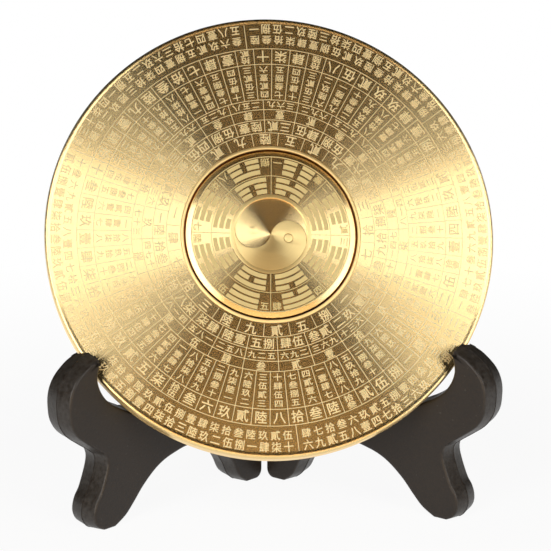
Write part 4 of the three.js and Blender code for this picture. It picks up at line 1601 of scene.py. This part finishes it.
class COMPASS_OT_stage(bpy.types.Operator):
    """Camera, floor, lamps and background"""

    bl_idname = "compass.stage"
    bl_label = "Stage"
    bl_options = {"REGISTER", "UNDO"}

    def execute(self, context):
        scene = context.scene
        self.camera(scene, scene.compass_stage)
        self.floor(scene.compass_colours.floor, scene.compass_stage)
        for name, values in LAMPS.items():
            lamp(name, *values)
        self.world(scene)
        scene.view_settings.view_transform = "Standard"
        return {"FINISHED"}

    def world(self, scene):
        """Plain white behind the floor for the camera, and a faint even light on the object"""
        scene.world = bpy.data.worlds.new("studio")
        sky = Nodes(scene.world)
        path = sky.node("ShaderNodeLightPath", {}, {})
        faint, white = (
            sky.node("ShaderNodeBackground", {}, {"Color": WHITE, "Strength": strength}).outputs[0]
            for strength in (FAINT_LIGHT, PLAIN_WHITE)
        )
        seen = sky.node("ShaderNodeMixShader", {}, {0: path.outputs["Is Camera Ray"], 1: faint, 2: white})
        sky.node("ShaderNodeOutputWorld", {}, {"Surface": seen.outputs[0]})

    def camera(self, scene, stage):
        """Camera at the place from which the plate is seen"""
        turn, rise = stage.azimuth, stage.elevation
        ahead = Vector((math.sin(turn) * math.cos(rise), math.cos(turn) * math.cos(rise), -math.sin(rise)))
        level = Vector((math.cos(turn), -math.sin(turn), 0))
        above = level.cross(ahead)
        right = level * math.cos(stage.roll) + above * math.sin(stage.roll)
        up = right.cross(ahead)
        lens = bpy.data.cameras.new("camera")
        lens.lens = stage.lens
        lens.clip_start, lens.clip_end = NEAREST, FARTHEST
        place = Matrix((right, up, -ahead)).transposed().to_4x4()
        place.translation = (
            PLATE.translation - ahead * stage.distance + right * stage.aim_right + up * stage.aim_up
        )
        scene.camera = in_scene("camera", lens)
        scene.camera.matrix_world = place

    def floor(self, tint, stage):
        """Round floor under the stand"""
        work = bmesh.new()
        bmesh.ops.create_circle(work, cap_ends=True, segments=FLOOR_FACETS, radius=stage.floor_radius)
        mesh = mesh_from(work)
        mesh.materials.append(floor_finish("floor", tint, stage.glow))
        floor = in_scene("floor", mesh)
        floor.location.z = CAD_LOW.z


PIECES = (
    COMPASS_OT_plate, COMPASS_OT_plate_lines, COMPASS_OT_legend, COMPASS_OT_names, COMPASS_OT_counts,
    COMPASS_OT_centre_dial, COMPASS_OT_taiji, COMPASS_OT_trigrams, COMPASS_OT_bearing, COMPASS_OT_screws,
    COMPASS_OT_stand, COMPASS_OT_hinge, COMPASS_OT_stage,
)
GROUPS = {
    "compass_plate_sizes": CompassPlateSizes,
    "compass_dial_sizes": CompassDialSizes,
    "compass_stand_sizes": CompassStandSizes,
    "compass_colours": CompassColours,
    "compass_stage": CompassStage,
}


class COMPASS_PT_panel(bpy.types.Panel):
    """Sidebar panel that lists the pieces of the compass"""

    bl_idname = "COMPASS_PT_panel"
    bl_label = "Feng shui compass"
    bl_space_type = "VIEW_3D"
    bl_region_type = "UI"
    bl_category = "Compass"

    def draw(self, context):
        for piece in PIECES:
            self.layout.operator(piece.bl_idname)
        for name in GROUPS:
            box = self.layout.box()
            group = getattr(context.scene, name)
            for key in group.__annotations__:
                box.prop(group, key)


def register():
    """Registers the property groups, the operators and the panel"""
    for made in (*GROUPS.values(), *PIECES, COMPASS_PT_panel):
        bpy.utils.register_class(made)
    for name, group in GROUPS.items():
        setattr(bpy.types.Scene, name, PointerProperty(type=group))


def unregister():
    """Takes back what register did"""
    for name in GROUPS:
        delattr(bpy.types.Scene, name)
    for made in reversed((*GROUPS.values(), *PIECES, COMPASS_PT_panel)):
        bpy.utils.unregister_class(made)


def main():
    """Makes all pieces in order"""
    register()
    for piece in PIECES:
        family, name = piece.bl_idname.split(".")
        getattr(getattr(bpy.ops, family), name)()


if __name__ == "__main__":
    main()
